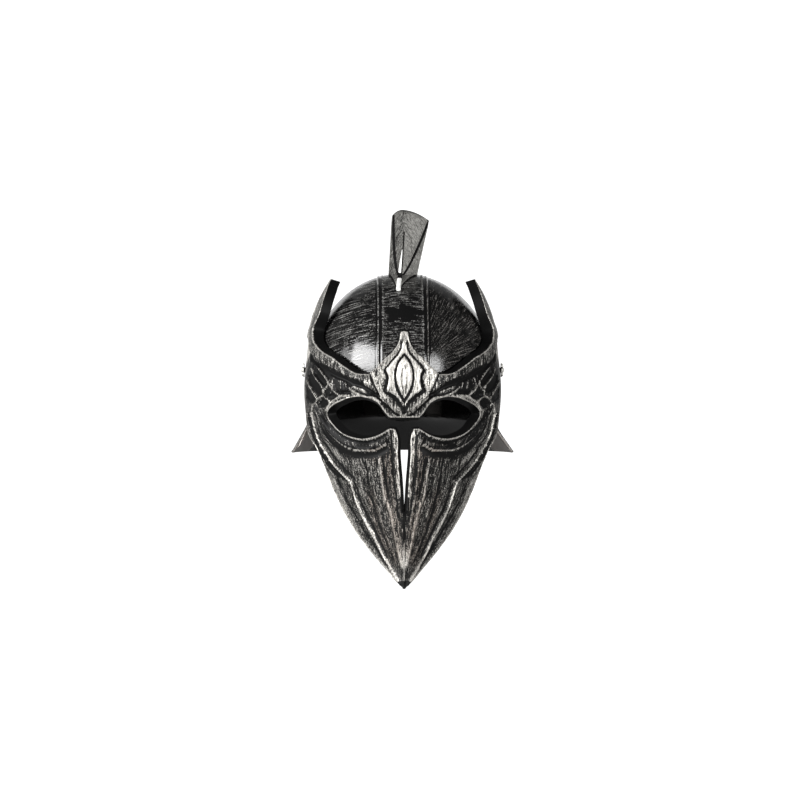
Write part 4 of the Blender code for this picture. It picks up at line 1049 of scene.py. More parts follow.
# The black patch: an ellipse whose edge waves in and out round its middle
aside = (side - BLOTCH_MIDDLE[0]) / BLOTCH_REACH[0]
above = (dome[:, 2] - BLOTCH_MIDDLE[1]) / BLOTCH_REACH[1]
bearing = np.arctan2(above, aside)
ragged = sum(wave.height * np.sin(wave.count * bearing + wave.start) for wave in BLOTCH_WAVES)
blotch = np.clip((1.0 - np.hypot(aside, above) + ragged) / BLOTCH_FADE, 0.0, 1.0) * (turn < 0)
panel = np.where(left_panel, LEFT_COVER, np.where(right_panel, RIGHT_COVER, MIDDLE_COVER))
cover = panel + RIB_WEIGHT * rib_paint - BLOTCH_WEIGHT * blotch

# The flare's inner side, which shows beside the mask
below_flare = np.clip((drop - GREY_BELOW) / GREY_FADE, 0.0, 1.0)
inner_flare = below_flare * rise(np.abs(side) - GREY_ASIDE, GREY_FADE)
skull_layers = {
    "cover": np.where(layer == 0, cover[source], BARE + (GREY_COVER - BARE) * inner_flare[source]),
    "brush": np.stack([across, along, np.zeros(len(side))], -1)[source],
    "tint": np.where(layer == 0, RIGHT_TINT * right_panel[source], inner_flare[source]),
}
fine_skull = new_piece("fine_skull_shell", points, faces, skull_layers)
place_piece(fine_skull, "shell", "skull_shell")

# %% [markdown]
# ## The crest
#
# The crest is one moulding, hollow and open underneath, that ends in a sharp prow. Two creases run up
# the prow from its foot to the top corners, and in front it leans to one side, as the real one does.
# It could be swept along the crown as one section, but the prow needs its own shape. So its sections
# stand in columns: the keel, the crease, then station after station along the crown.

# %% Sizes of the crest
CREST_HEIGHT = 0.054
CREST_BASE_WIDTH = 0.027
CREST_TOP_WIDTH = 0.0345
CREST_TAIL_WIDTH = 0.026
CREST_GABLE = 0.0072
CREST_WALL = 0.0020
CREST_LEAN = math.radians(8.0)
KEEL_LEAN = math.radians(3.5)
TAIL_LEAN = math.radians(1.5)
KEEL_FOOT = -0.0022
CREST_FRONT = 0.23
CREST_BACK = math.radians(66)
CREST_TAPER = 0.45
CREST_TAPER_CURVE = 2.2
PROW_DEPTH = 0.009
CREASE_OUT = 0.97
CREASE_BOW = 0.58
FIT_GAP = 0.0003
CREST_ROWS = 54
GABLE_ROWS = 10
STATIONS = 84
FAR_AWAY = 1.0
PROW_COLUMNS = 4
CROWD_SHARE = 0.4
NEAR_KEEL = np.array([0.0, 0.4, 0.8, 1.3, 2.0, 2.8]) * MM
NEAR_CREASE = np.array([0.0, 0.45, 0.9, 1.4]) * MM
Prow = namedtuple("Prow", "level forward")
CREASE_FORWARD = (Prow(0.0, 1.0), Prow(0.35, 0.45), Prow(0.7, 0.45), Prow(1.0, 0.0))
crest_first = -math.asin(CREST_FRONT)
base = CREST_BASE_WIDTH / 2
top = CREST_TOP_WIDTH / 2
tail = CREST_TAIL_WIDTH / 2
seat = FIT_GAP + (base**2 - (base - CREST_WALL)**2) / (2.0 * SKULL_HALF_WIDTH)
crest_span = [round(math.degrees(turn), 1) for turn in (crest_first, CREST_BACK)]
print("crest runs from and to, in degrees:", crest_span)

# %% Points over the crown
def along_crest(turn):
    """Share of the way from the prow to the nape."""
    return np.clip((turn - crest_first) / (CREST_BACK - crest_first), 0.0, 1.0)


def crest_point(turn, up_by, x, forward, drop):
    """A point over the crown: up the dome's normal by up_by, ahead by forward, then down by drop."""
    shrink = math.sqrt(1.0 - (base / SKULL_HALF_WIDTH)**2)
    foot = np.stack([SKULL_HALF_LENGTH * shrink * np.sin(turn), SKULL_RISE * shrink * np.cos(turn)], -1)
    slope = np.stack([foot[..., 0] / SKULL_HALF_LENGTH**2, foot[..., 1] / SKULL_RISE**2], -1)
    side_part = base / SKULL_HALF_WIDTH**2
    full = np.sqrt(slope[..., 0]**2 + slope[..., 1]**2 + side_part**2)
    up = slope / np.linalg.norm(slope, axis=-1, keepdims=True)
    place = foot + slope / full[..., None] * seat + up * up_by[..., None]
    place = place - np.stack([up[..., 1], -up[..., 0]], -1) * forward[..., None]
    return np.stack([x, place[..., 0], place[..., 1] - drop], -1)


def crowded(width, near_start, near_end, middle):
    """Distances from one edge to the other: close together at both, evenly spread between."""
    starts = np.minimum(near_start[:, None], CROWD_SHARE * width)
    ends = width - np.minimum(near_end[::-1, None], CROWD_SHARE * width)
    share = np.arange(1, middle + 1)[:, None] / (middle + 1)
    return np.vstack([starts, starts[-1] + (ends[0] - starts[-1]) * share, ends])


up_front = crest_point(np.array([crest_first]), np.array([CREST_HEIGHT]), np.zeros(1), np.zeros(1), 0.0)
print("top of the prow over the hollow's top, mm:", np.round((up_front[0] + EQUATOR) / MM, 1).tolist())

# %% [markdown]
# ## One flank of the crest
#
# The prow and the flank behind it are one grid, so that no seam shows at the crease. The columns
# crowd together beside the keel and the crease, where the paint changes within a millimetre, and
# thin out along the crown, where nothing changes. Over the wall's top a rounded roof closes it.

# %% Grid of a flank
def crest_half(way):
    """One flank as a grid of points, with each point's height and its distances from keel and crease."""
    level = np.linspace(0.0, 1.0, CREST_ROWS + 1)
    lifted = CREST_HEIGHT * level
    keel = KEEL_FOOT + lifted * math.tan(KEEL_LEAN)
    crease_x = way * top * CREASE_OUT * level**CREASE_BOW + KEEL_FOOT * (1.0 - level)
    crease_x[-1] = way * top
    flank_x = way * (base + (top - base) * level)
    prow_width = np.abs(crease_x + lifted * math.tan(CREST_LEAN) - keel)
    side_width = np.abs(flank_x - crease_x)
    prow = crowded(prow_width, NEAR_KEEL, NEAR_CREASE, PROW_COLUMNS)
    side = crowded(side_width, NEAR_CREASE, np.zeros(1), PROW_COLUMNS)[1:]
    prow_share = prow / np.maximum(prow_width, 1e-9)
    side_share = side / np.maximum(side_width, 1e-9)
    forward = PROW_DEPTH * np.interp(level, *zip(*CREASE_FORWARD))
    side_x = crease_x + way * side
    turns = np.linspace(crest_first, CREST_BACK, STATIONS + 1)[1:, None]
    lean = np.tan(CREST_LEAN + (TAIL_LEAN - CREST_LEAN) * along_crest(turns))
    half_top = top + (tail - top) * along_crest(turns)
    crown_x = way * (base + (half_top - base) * level)
    full = CREST_HEIGHT * (1.0 - CREST_TAPER * along_crest(turns)**CREST_TAPER_CURVE)
    front = len(prow) + len(side)
    x = np.vstack([keel + way * prow, side_x + lifted * math.tan(CREST_LEAN),
                   crown_x + full * level * lean])
    ahead = np.vstack([PROW_DEPTH + (forward - PROW_DEPTH) * prow_share, forward * (1.0 - side_share),
                       np.zeros((STATIONS, len(level)))])
    drop = np.vstack([crease_x * prow_share * math.tan(CREST_LEAN), side_x * math.tan(CREST_LEAN),
                      crown_x * lean]) * level
    turn = np.vstack([np.full((front, 1), crest_first), turns])
    full = np.vstack([np.full((front, 1), CREST_HEIGHT), full])
    wall = crest_point(np.broadcast_to(turn, x.shape), full * level, x, ahead, drop)

    climb = np.arange(1, GABLE_ROWS + 1) / GABLE_ROWS
    ridge_lean = np.tan(KEEL_LEAN + (TAIL_LEAN - KEEL_LEAN) * along_crest(turn))
    ridge = KEEL_FOOT * (1.0 - along_crest(turn)) + (full + CREST_GABLE) * ridge_lean
    roof_x = ridge + (x[:, -1:] - ridge) * (1.0 - climb)
    to_keel = np.clip(1.0 - np.arange(len(turn))[:, None] / (front - 1.0), 0.0, 1.0)
    roof_ahead = ahead[:, -1:] * (1.0 - climb) + PROW_DEPTH * to_keel * climb
    roof_rise = full + CREST_GABLE * (1.0 - (1.0 - climb)**2)
    roof_drop = drop[:, -1:] * (1.0 - climb)
    roof = crest_point(np.broadcast_to(turn, roof_x.shape), roof_rise, roof_x, roof_ahead, roof_drop)
    far = np.full((STATIONS, len(level)), FAR_AWAY)
    over_roof = {"pad_width": ((0, 0), (0, GABLE_ROWS)), "constant_values": FAR_AWAY}
    from_keel = np.pad(np.vstack([prow, far[:len(side)], far]), **over_roof)
    from_crease = np.pad(np.vstack([prow_width - prow, side, far]), **over_roof)
    high = np.broadcast_to(np.concatenate([level, 1.0 + climb]), from_keel.shape)
    return np.concatenate([wall, roof], 1), np.stack([high, from_keel, from_crease], -1)


left, left_marks = crest_half(-1)
right, right_marks = crest_half(1)
columns, rows = left.shape[:2]
print("a flank has", columns, "columns of", rows, "points")

# %% [markdown]
# ## Sewing the two flanks together
#
# Two separate flanks would leave a slit at the keel and along the ridge. A mirror modifier could
# merge them, but the lean makes them unlike. So both flanks use the same point numbers where they
# meet, and a strip of faces closes the back. The wall then gets its inner side as all pieces do.

# %% Sew the crest
def turned_over(quads):
    """The same quads seen from behind, each from the same first corner."""
    return quads[:, [0, 3, 2, 1]]


number = np.arange(columns * rows).reshape(columns, rows)
right_number = number + columns * rows
right_number[:, -1] = number[:, -1]
right_number[0] = number[0]
back_strip = turned_over(grid_quads(np.stack([number[-1], right_number[-1]])))
crest_quads = np.vstack([turned_over(grid_quads(number)), grid_quads(right_number), back_strip])
crest_points = np.vstack([left.reshape(-1, 3), right.reshape(-1, 3)])
crest_marks = np.vstack([left_marks.reshape(-1, 3), right_marks.reshape(-1, 3)])
used, numbers = np.unique(crest_quads, return_inverse=True)
crest_points, crest_quads = crest_points[used], numbers.reshape(crest_quads.shape)
level, from_keel, from_crease = crest_marks[used].T
on_right = used >= columns * rows
crest_normals = vertex_normals(crest_points, crest_quads)
print("crest normal up at the ridge:", np.round(crest_normals[crest_points[:, 2].argmax()], 2))

# %% [markdown]
# ## Brushing the crest
#
# The crest got the most silver, in strokes that slant down and outwards from the keel like the barbs
# of a feather. The creases and the right side of the keel stayed black. A wedge beside the keel, wider
# towards the foot, is a painted highlight: near-white silver where the light catches. Black lines could
# be thin meshes of their own. Here they are humps of the distance from the crease and from the keel,
# sunk a little and left unpainted.

# %% Build the crest
CREASE = Line(-0.5, 1.5, -2.8, ())
KEEL_DARK = Line(-0.3, 1.0, -2.2, ())
KEEL_DARK_ASIDE = 0.5
KEEL_DARK_MIDDLE = 0.42
KEEL_DARK_REACH = 0.36
# Painted highlight beside the keel: its width at the foot, the height where it ends, and its soft edge
KEEL_LIGHT_WIDTH = 2.6
KEEL_LIGHT_TOP = 0.52
KEEL_LIGHT_LEAST = 0.2
KEEL_LIGHT_EDGE = 0.5
CREST_COVER = 0.56
LEFT_LESS = 0.12
RIGHT_MORE = 0.15
CREST_SHARP = 35.0

keel_dark_part = on_right * (np.abs(level - KEEL_DARK_MIDDLE) < KEEL_DARK_REACH)
crease_hump = hump(from_crease, CREASE.half_width * MM) * (level <= 1.0)
keel_hump = hump(from_keel - KEEL_DARK_ASIDE * MM, KEEL_DARK.half_width * MM) * keel_dark_part
sunk = CREASE.height * crease_hump + KEEL_DARK.height * keel_hump
# Painted highlight: a wedge on the keel's left gets more silver and the near-white tint, where the light
# catches it
light_width = KEEL_LIGHT_WIDTH * MM * np.clip(1.0 - level / KEEL_LIGHT_TOP, 0.0, 1.0)
light_share = np.clip((light_width - from_keel) / (KEEL_LIGHT_EDGE * MM) + 0.5, 0.0, 1.0)
keel_light = light_share * ~on_right * (light_width > KEEL_LIGHT_LEAST * MM)

keel_x = KEEL_FOOT + (crest_points[:, 2] - SKULL_RISE) * math.tan(KEEL_LEAN)
outwards = np.abs(crest_points[:, 0] - keel_x) + crest_points[:, 1]
barb_across = (outwards + crest_points[:, 2]) * math.sqrt(0.5)
barb_along = (outwards - crest_points[:, 2]) * math.sqrt(0.5)
outer = crest_points + crest_normals * (sunk * MM)[:, None] + EQUATOR
inner = crest_points - crest_normals * CREST_WALL + EQUATOR
points, faces, source, layer = close_wall(outer, inner, crest_quads)
flank = np.where(on_right, RIGHT_MORE, -LEFT_LESS)
crest_cover = CREST_COVER + flank + CREASE.paint * crease_hump + KEEL_DARK.paint * keel_hump + keel_light
crest_layers = {
    "cover": np.where(layer == 0, crest_cover[source], BARE),
    "brush": np.stack([barb_across, barb_along, np.zeros(len(barb_across))], -1)[source],
    "tint": keel_light[source] * (layer == 0),
}
fine_crest = new_piece("fine_crest", points, faces, crest_layers, sharp=CREST_SHARP)
place_piece(fine_crest, "shell", "crest")

# %% [markdown]
# ## The tongue
#
# A small bar runs from the prow down the front of the dome, and its front part is painted white. A
# bent cube would do, but the bar has to follow the dome. So a rounded square is carried along a line
# on the dome, ring after ring, and both ends are closed on a middle point.

# %% Build the tongue
TONGUE_WIDTH = 0.0040
TONGUE_HEIGHT = 0.0032
TONGUE_REACH = math.radians(25.0)
TONGUE_SLANT = math.radians(2.7)
TONGUE_STEPS = 60
TONGUE_SIDES = 16
TONGUE_SHOWN = math.radians(-26.5)
TONGUE_UNDER_PROW = 0.018
SQUARENESS = 0.5
WHITE_COVER = 0.9
WHITE_FADE = 0.01


def wrap_rows(rows, count):
    """Quads between rings of the same number of points, the end rings closed on a middle point."""
    number = np.arange(rows * count).reshape(rows, count)
    ahead = np.roll(number, -1, axis=1)
    quads = [np.stack([number[:-1], ahead[:-1], ahead[1:], number[1:]], -1).reshape(-1, 4)]
    for ring, way, middle in ((0, -1, rows * count), (rows - 1, 1, rows * count + 1)):
        a, b = (number[ring], ahead[ring])[::way]
        quads.append(np.stack([a, b, np.full(count, middle), np.full(count, middle)], -1))
    return np.vstack(quads)


def bar_on_dome(turns, side, out):
    """Rings across the dome: side and out say, for each ring and each of its points, where it stands."""
    foot = dome_point(side, np.broadcast_to(turns[:, None], side.shape))
    slope = foot / np.array([SKULL_HALF_WIDTH**2, SKULL_HALF_LENGTH**2, SKULL_RISE**2])
    slope /= np.linalg.norm(slope, axis=-1, keepdims=True)
    rings = foot + slope * out[..., None] + EQUATOR
    return np.vstack([rings.reshape(-1, 3), rings[0].mean(0), rings[-1].mean(0)])


def tongue_middle(turns):
    """Side of the tongue's middle: it goes on from the keel's foot, slanting a little."""
    return KEEL_FOOT + (turns - crest_first) * SKULL_HALF_LENGTH * math.tan(TONGUE_SLANT)


def squared(wave):
    """A sine or cosine swollen towards a square wave: its sign times a power of its size."""
    return np.sign(wave) * np.abs(wave)**SQUARENESS


angle = np.arange(TONGUE_SIDES) * 2 * math.pi / TONGUE_SIDES
ring_side = squared(np.cos(angle))
ring_out = 0.5 + 0.5 * squared(np.sin(angle))
turns = np.linspace(crest_first - TONGUE_REACH, crest_first + TONGUE_UNDER_PROW, TONGUE_STEPS + 1)
side = tongue_middle(turns)[:, None] + TONGUE_WIDTH / 2 * ring_side
points = bar_on_dome(turns, side, np.broadcast_to(FIT_GAP + TONGUE_HEIGHT * ring_out, side.shape))
shown = np.clip((TONGUE_SHOWN - np.repeat(turns, TONGUE_SIDES)) / WHITE_FADE, 0.0, 1.0)
shown = np.concatenate([shown, [1.0, 0.0]])
tongue_cover = BARE + (WHITE_COVER - BARE) * shown
tongue_layers = {"cover": tongue_cover, "brush": points[:, [0, 2, 1]], "tint": shown}
fine_tongue = new_piece("fine_tongue", points, wrap_rows(TONGUE_STEPS + 1, TONGUE_SIDES), tongue_layers)
place_piece(fine_tongue, "shell", None)

# %% [markdown]
# ## The crest's foot
#
# Below the prow the moulding runs out on the dome in a thin plate that narrows to the front and
# carries the tongue. It could be cut from a copy of the dome, but a flat bar whose sides draw
# together is simpler, carried down the dome as the tongue is. Its edges are black: a dark outline
# on the left, and on the right a painted shadow.

# %% Build the crest's foot
FOOT_END = math.radians(-37.0)
FOOT_STEPS = 60
FOOT_LEFT = (-0.0137, -0.0058)
FOOT_RIGHT = (0.0135, -0.0040)
FOOT_THICKNESS = 0.0009
FOOT_BEFORE_PROW = 0.004
FOOT_GAP = 0.0001
FOOT_TOP = (0.03, 0.08, 0.2, 0.35, 0.5, 0.65, 0.8, 0.92, 0.97)
FOOT_ACROSS = np.array([0.0, 0.0, *FOOT_TOP, 1.0, 1.0, 0.75, 0.5, 0.25])
FOOT_OUT = np.array([0.0, 0.6, *np.ones(len(FOOT_TOP)), 0.6, 0.0, 0.0, 0.0, 0.0])
FOOT_DARK_FROM = 0.46

turns = np.linspace(FOOT_END, crest_first - FOOT_BEFORE_PROW, FOOT_STEPS + 1)
share = (turns - FOOT_END) / (turns[-1] - FOOT_END)
left_edge = FOOT_LEFT[1] + (FOOT_LEFT[0] - FOOT_LEFT[1]) * share
right_edge = FOOT_RIGHT[1] + (FOOT_RIGHT[0] - FOOT_RIGHT[1]) * share
side = right_edge[:, None] + (left_edge - right_edge)[:, None] * FOOT_ACROSS
points = bar_on_dome(turns, side, np.broadcast_to(FOOT_GAP + FOOT_THICKNESS * FOOT_OUT, side.shape))
# Black edges: a dark outline on the left, and on the right a painted shadow
outline_and_shadow = (FOOT_OUT < 1.0) | (np.abs(FOOT_ACROSS - 0.5) > FOOT_DARK_FROM)
foot_cover = np.tile(np.where(outline_and_shadow, -1.0, CREST_COVER + RIGHT_MORE), len(turns))
foot_x, foot_y, foot_z = points.T
foot_layers = {
    "cover": np.concatenate([foot_cover, [BARE, BARE]]),
    "brush": np.stack([foot_x - foot_z, foot_x + foot_z, foot_y], -1) * math.sqrt(0.5),
    "tint": np.zeros(len(points)),
}
fine_foot = new_piece("fine_crest_foot", points, wrap_rows(FOOT_STEPS + 1, len(FOOT_ACROSS)), foot_layers)
place_piece(fine_foot, "shell", None)

# %% [markdown]
# ## The rivets
#
# Two rivets hold the mask at the temples, and it turns on them. Inside they are a plain shank with a
# flat tail; outside each has a rosette of eight petals round a boss, where the silver sits on the
# petals. Petals could be modelled one by one and repeated. Here a turned profile is carried round,
# and its height and radius dip between the petals, which keeps the rosette one closed surface.

# %% Sizes of the rivets
RIVET_HEAD_RADIUS = 0.0067
RIVET_HEAD_HEIGHT = 0.0032
SHANK_RADIUS = 0.0025
TAIL_RADIUS = 0.0045
TAIL_HEIGHT = 0.0014
HEAD_GAP = 1.5 * FIT_GAP
TAIL_GAP = 5 * FIT_GAP
PETALS = 8
PETAL_WAIST = 0.10
PETAL_SINK = 0.35
RIVET_SIDES = 64
RIVET_SHARP = 60.0
RIVET_COVER = 0.6
PETAL_COVER = 0.4
PETAL_SHADE = 1.2
Turned = namedtuple("Turned", "radius height petal")
ROSETTE = (
    Turned(0.02, 1.00, 0.0), Turned(0.16, 0.97, 0.0), Turned(0.28, 0.82, 0.0), Turned(0.33, 0.62, 0.0),
    Turned(0.40, 0.55, 0.1), Turned(0.52, 0.70, 0.5), Turned(0.66, 0.74, 0.8), Turned(0.80, 0.66, 1.0),
    Turned(0.92, 0.46, 1.0), Turned(0.99, 0.20, 0.8), Turned(1.00, 0.00, 0.5),
)
print("rosette rings:", len(ROSETTE), "petals:", PETALS)

# %% Build the rivets
def make_rosette(way):
    """A rivet: each row of the rosette is a ring whose height and radius dip between the petals."""
    under_head = np.array([-RIVET_HEAD_RADIUS, 0.0, RIVET_HEAD_RADIUS])
    head = float(mask_point(np.full(3, math.pi / 2 * MASK_DEPTH), under_head)[:, 0].max()) + HEAD_GAP
    tail = SKULL_HALF_WIDTH - SKULL_WALL - TAIL_GAP
    rows = [(RIVET_HEAD_RADIUS * r.radius, head + RIVET_HEAD_HEIGHT * r.height, r.petal) for r in ROSETTE]
    rows += [(SHANK_RADIUS, head, 0.0), (SHANK_RADIUS, tail, 0.0), (TAIL_RADIUS, tail, 0.0),
             (TAIL_RADIUS, tail - TAIL_HEIGHT, 0.0)]
    radius, height, petal = np.array(rows).T[:, :, None]
    angle = np.arange(RIVET_SIDES) * 2 * math.pi / RIVET_SIDES
    dip = petal * (0.5 - 0.5 * np.cos(PETALS * angle))
    reach = radius * (1.0 - PETAL_WAIST * dip)
    out = height - PETAL_SINK * dip * RIVET_HEAD_HEIGHT * (height > head)
    rings = np.stack([way * out, reach * np.cos(angle), way * reach * np.sin(angle)], -1)[::-1]
    rings = rings.reshape(-1, 3) + PIVOT
    ends = (way * (tail - TAIL_HEIGHT), way * (head + RIVET_HEAD_HEIGHT))
    middle = np.array([[end, 0.0, 0.0] for end in ends]) + PIVOT
    shown = np.concatenate([(1.0 - PETAL_SHADE * dip)[::-1].ravel(), [0.0, 1.0]])
    outside = np.abs(np.concatenate([rings[:, 0], [0.0, head * 2]])) > head
    points = np.vstack([rings, middle])
    layers = {
        "cover": np.where(outside, RIVET_COVER + PETAL_COVER * shown, BARE),
        "brush": points[:, [1, 2, 0]],
        "tint": np.zeros(len(points)),
    }
    side_name = "left" if way < 0 else "right"
    faces = wrap_rows(len(rows), RIVET_SIDES)
    piece = new_piece("fine_rivet_" + side_name, points, faces, layers, sharp=RIVET_SHARP)
    place_piece(piece, "shell", "rivet_" + side_name)
    return piece


fine_rivets = [make_rosette(way) for way in (-1, 1)]

# %% [markdown]
# ## Dry-brushed paint
#
# A nearly dry brush drags silver over black plastic: thin streaks along the stroke, more of them where
# the cover layer is high and none in the grooves. The group makes that pattern from noise stretched
# along the brush layer, with a fine noise for specks and a slow one for patches. A picture of brushed
# metal would be quicker, but it would repeat and stretch. The group gives a mask, a tone and a grain
# height, and each material mixes its own black and silver by them, so one group serves every piece.

# %% Node helpers
def add_node(tree, kind, inputs=None, **settings):
    """A node with its settings, and each input either set to a value or linked to an output."""
    node = tree.nodes.new(kind)
    for name, value in settings.items():
        setattr(node, name, value)
    for name, value in (inputs or {}).items():
        if isinstance(value, bpy.types.NodeSocket):
            tree.links.new(value, node.inputs[name])
        else:
            node.inputs[name].default_value = value
    return node


def math_node(tree, operation, one, two, three=0.0, clamp=False):
    """The output of a Math node."""
    inputs = {0: one, 1: two, 2: three}
    return add_node(tree, "ShaderNodeMath", inputs, operation=operation, use_clamp=clamp).outputs[0]


def noise(tree, vector, scale, detail):
    """Noise of a vector multiplied by a scale for each axis."""
    scaled = add_node(tree, "ShaderNodeVectorMath", {0: vector, 1: scale}, operation="MULTIPLY")
    settings = {"Vector": scaled.outputs[0], "Scale": 1.0, "Detail": detail}
    return add_node(tree, "ShaderNodeTexNoise", settings).outputs[0]


def new_group(name, inputs, outputs):
    """A shader node group with its sockets, each name with its kind."""
    group = bpy.data.node_groups.new(name, "ShaderNodeTree")
    for way, sockets in (("INPUT", inputs), ("OUTPUT", outputs)):
        for socket, kind in sockets.items():
            group.interface.new_socket(socket, in_out=way, socket_type="NodeSocket" + kind)
    return group


print("node groups so far:", len(bpy.data.node_groups))

# %% The dry brush group
STREAK_WIDTH = 0.0010
STREAK_LENGTH = 0.009
HAIR_WIDTH = 0.0007
HAIR_LENGTH = 0.0055
DAB_WIDTH = 0.0030
DAB_LENGTH = 0.020
SPECK_SIZE = 0.0011
PATCH_SIZE = 0.016
STREAK_SHARE = 0.50
DAB_SHARE = 0.15
SPECK_SHARE = 0.25
PATCH_SHARE = 0.10
HAIR_TONE = 0.7
SPECK_TONE = 0.3
COVER_TONE = 0.5
STREAK_GRAIN = 0.6
SILVER_GRAIN = 0.4
COVER_WEIGHT = 0.38
SILVER_LEVEL = 0.69
TONE_CONTRAST = 4.0
TONE_LEVEL = 0.2


def make_dry_brush():
    """Silver = streaks + specks + dabs + patches, pushed up by the cover and cut to a soft threshold.

    Tone says how thick the silver lies there: hairs and specks, with some more where the cover is high.
    """
    inputs = {"Brush": "Vector", "Place": "Vector", "Cover": "Float", "Softness": "Float"}
    group = new_group("dry_brush", inputs, {"Silver": "Float", "Tone": "Float", "Grain": "Float"})
    given = add_node(group, "NodeGroupInput").outputs
    streaks = noise(group, given["Brush"], (1 / STREAK_WIDTH, 1 / STREAK_LENGTH, 1.0), 3.0)
    dabs = noise(group, given["Brush"], (1 / DAB_WIDTH, 1 / DAB_LENGTH, 1.0), 2.0)
    specks = noise(group, given["Place"], (1 / SPECK_SIZE,) * 3, 1.0)
    patches = noise(group, given["Place"], (1 / PATCH_SIZE,) * 3, 2.0)
    mixed = math_node(group, "MULTIPLY", dabs, DAB_SHARE)
    mixed = math_node(group, "MULTIPLY_ADD", streaks, STREAK_SHARE, mixed)
    mixed = math_node(group, "MULTIPLY_ADD", specks, SPECK_SHARE, mixed)
    mixed = math_node(group, "MULTIPLY_ADD", patches, PATCH_SHARE, mixed)
    lowered = math_node(group, "SUBTRACT", mixed, SILVER_LEVEL)
    lifted = math_node(group, "MULTIPLY_ADD", given["Cover"], COVER_WEIGHT, lowered)
    softened = math_node(group, "DIVIDE", lifted, given["Softness"])
    silver = math_node(group, "ADD", softened, 0.5, clamp=True)
    hairs = noise(group, given["Brush"], (1 / HAIR_WIDTH, 1 / HAIR_LENGTH, 1.0), 2.0)
    thick = math_node(group, "MULTIPLY", specks, SPECK_TONE)
    thick = math_node(group, "MULTIPLY_ADD", hairs, HAIR_TONE, thick)
    thick = math_node(group, "MULTIPLY", math_node(group, "SUBTRACT", thick, 0.5), TONE_CONTRAST)
    thick = math_node(group, "ADD", thick, TONE_LEVEL)
    tone = math_node(group, "MULTIPLY_ADD", given["Cover"], COVER_TONE, thick, clamp=True)
    grain = math_node(group, "MULTIPLY", silver, SILVER_GRAIN)
    grain = math_node(group, "MULTIPLY_ADD", streaks, STREAK_GRAIN, grain)
    add_node(group, "NodeGroupOutput", {"Silver": silver, "Tone": tone, "Grain": grain})
    return group


DRY_BRUSH = make_dry_brush()
print("dry brush group:", len(DRY_BRUSH.nodes), "nodes")

# %% [markdown]
# ## The materials
#
# All pieces are the same black plastic under silver, but the brush was loaded differently: the crest
# got the most, and it is matt, while the skull's black shines. One material with many switches could
# serve all, but a material for each paint slot, made by one function from one row, is easier to read.

# %% Paint slots
Paint = namedtuple("Paint", "slot thin thick black tint silver_rough black_rough metal softness gloss")
PAINTS = (
    Paint("mask_paint", thin=(0.045, 0.043, 0.040), thick=(0.62, 0.60, 0.56), black=(0.005, 0.005, 0.005),
          tint=(0.16, 0.11, 0.08), silver_rough=0.42, black_rough=0.45, metal=0.35, softness=0.11,
          gloss=0.08),
    Paint("skull_paint", thin=(0.042, 0.041, 0.039), thick=(0.38, 0.375, 0.36), black=(0.005, 0.005, 0.005),
          tint=(0.20, 0.18, 0.165), silver_rough=0.30, black_rough=0.13, metal=0.30, softness=0.12,
          gloss=0.50),
    # The crest's near-white tint serves the white front of the tongue and the painted highlight beside the
    # keel
    Paint("crest_paint", thin=(0.11, 0.108, 0.100), thick=(0.28, 0.275, 0.26), black=(0.004, 0.004, 0.004),
          tint=(0.90, 0.90, 0.88), silver_rough=0.60, black_rough=0.70, metal=0.10, softness=0.26,
          gloss=0.05),
    Paint("rivet_paint", thin=(0.08, 0.078, 0.075), thick=(0.75, 0.74, 0.70), black=(0.008, 0.008, 0.008),
          tint=(0.20, 0.20, 0.20), silver_rough=0.42, black_rough=0.35, metal=0.35, softness=0.13,
          gloss=0.30),
)
GRAIN_BUMP = 0.25
GRAIN_DEPTH = 0.0004
print("paint slots:", [paint.slot for paint in PAINTS])

# %% Make the materials
def layer_value(tree, name, output):
    """One of the piece's own layers."""
    node = add_node(tree, "ShaderNodeAttribute", attribute_name=name, attribute_type="GEOMETRY")
    return node.outputs[output]


def mixed_colour(tree, factor, one, two):
    """Colour one where the factor is 0 and two where it is 1."""
    node = add_node(tree, "ShaderNodeMix", data_type="RGBA")
    for socket, value in zip([node.inputs[0], node.inputs[6], node.inputs[7]], (factor, one, two)):
        if isinstance(value, bpy.types.NodeSocket):
            tree.links.new(value, socket)
        else:
            socket.default_value = (*value, 1.0) if isinstance(value, tuple) else value
    return node.outputs[2]


def make_paint(paint):
    """Material of one slot: its black and its tinted silver, with the crest's painted highlight, mixed by
    the dry brush group.
    """
    material = bpy.data.materials.new(paint.slot)
    material.use_nodes = True
    tree = material.node_tree
    shader = tree.nodes["Principled BSDF"]
    place = add_node(tree, "ShaderNodeTexCoord").outputs["Object"]
    brush = add_node(tree, "ShaderNodeGroup", node_tree=DRY_BRUSH)
    tree.links.new(layer_value(tree, "brush", "Vector"), brush.inputs["Brush"])
    tree.links.new(place, brush.inputs["Place"])
    tree.links.new(layer_value(tree, "cover", "Fac"), brush.inputs["Cover"])
    brush.inputs["Softness"].default_value = paint.softness
    silver = brush.outputs["Silver"]
    layered = mixed_colour(tree, brush.outputs["Tone"], paint.thin, paint.thick)
    # On the crest the tint layer also paints the highlight beside the keel, in the slot's near-white tint
    tinted = mixed_colour(tree, layer_value(tree, "tint", "Fac"), layered, paint.tint)
    tree.links.new(mixed_colour(tree, silver, paint.black, tinted), shader.inputs["Base Color"])
    tree.links.new(math_node(tree, "MULTIPLY", silver, paint.metal), shader.inputs["Metallic"])
    rougher = paint.silver_rough - paint.black_rough
    rough = math_node(tree, "MULTIPLY_ADD", silver, rougher, paint.black_rough)
    tree.links.new(rough, shader.inputs["Roughness"])
    shader.inputs["Specular IOR Level"].default_value = paint.gloss
    grain = {"Height": brush.outputs["Grain"], "Strength": GRAIN_BUMP, "Distance": GRAIN_DEPTH}
    bump = add_node(tree, "ShaderNodeBump", grain)
    tree.links.new(bump.outputs[0], shader.inputs["Normal"])
    return material


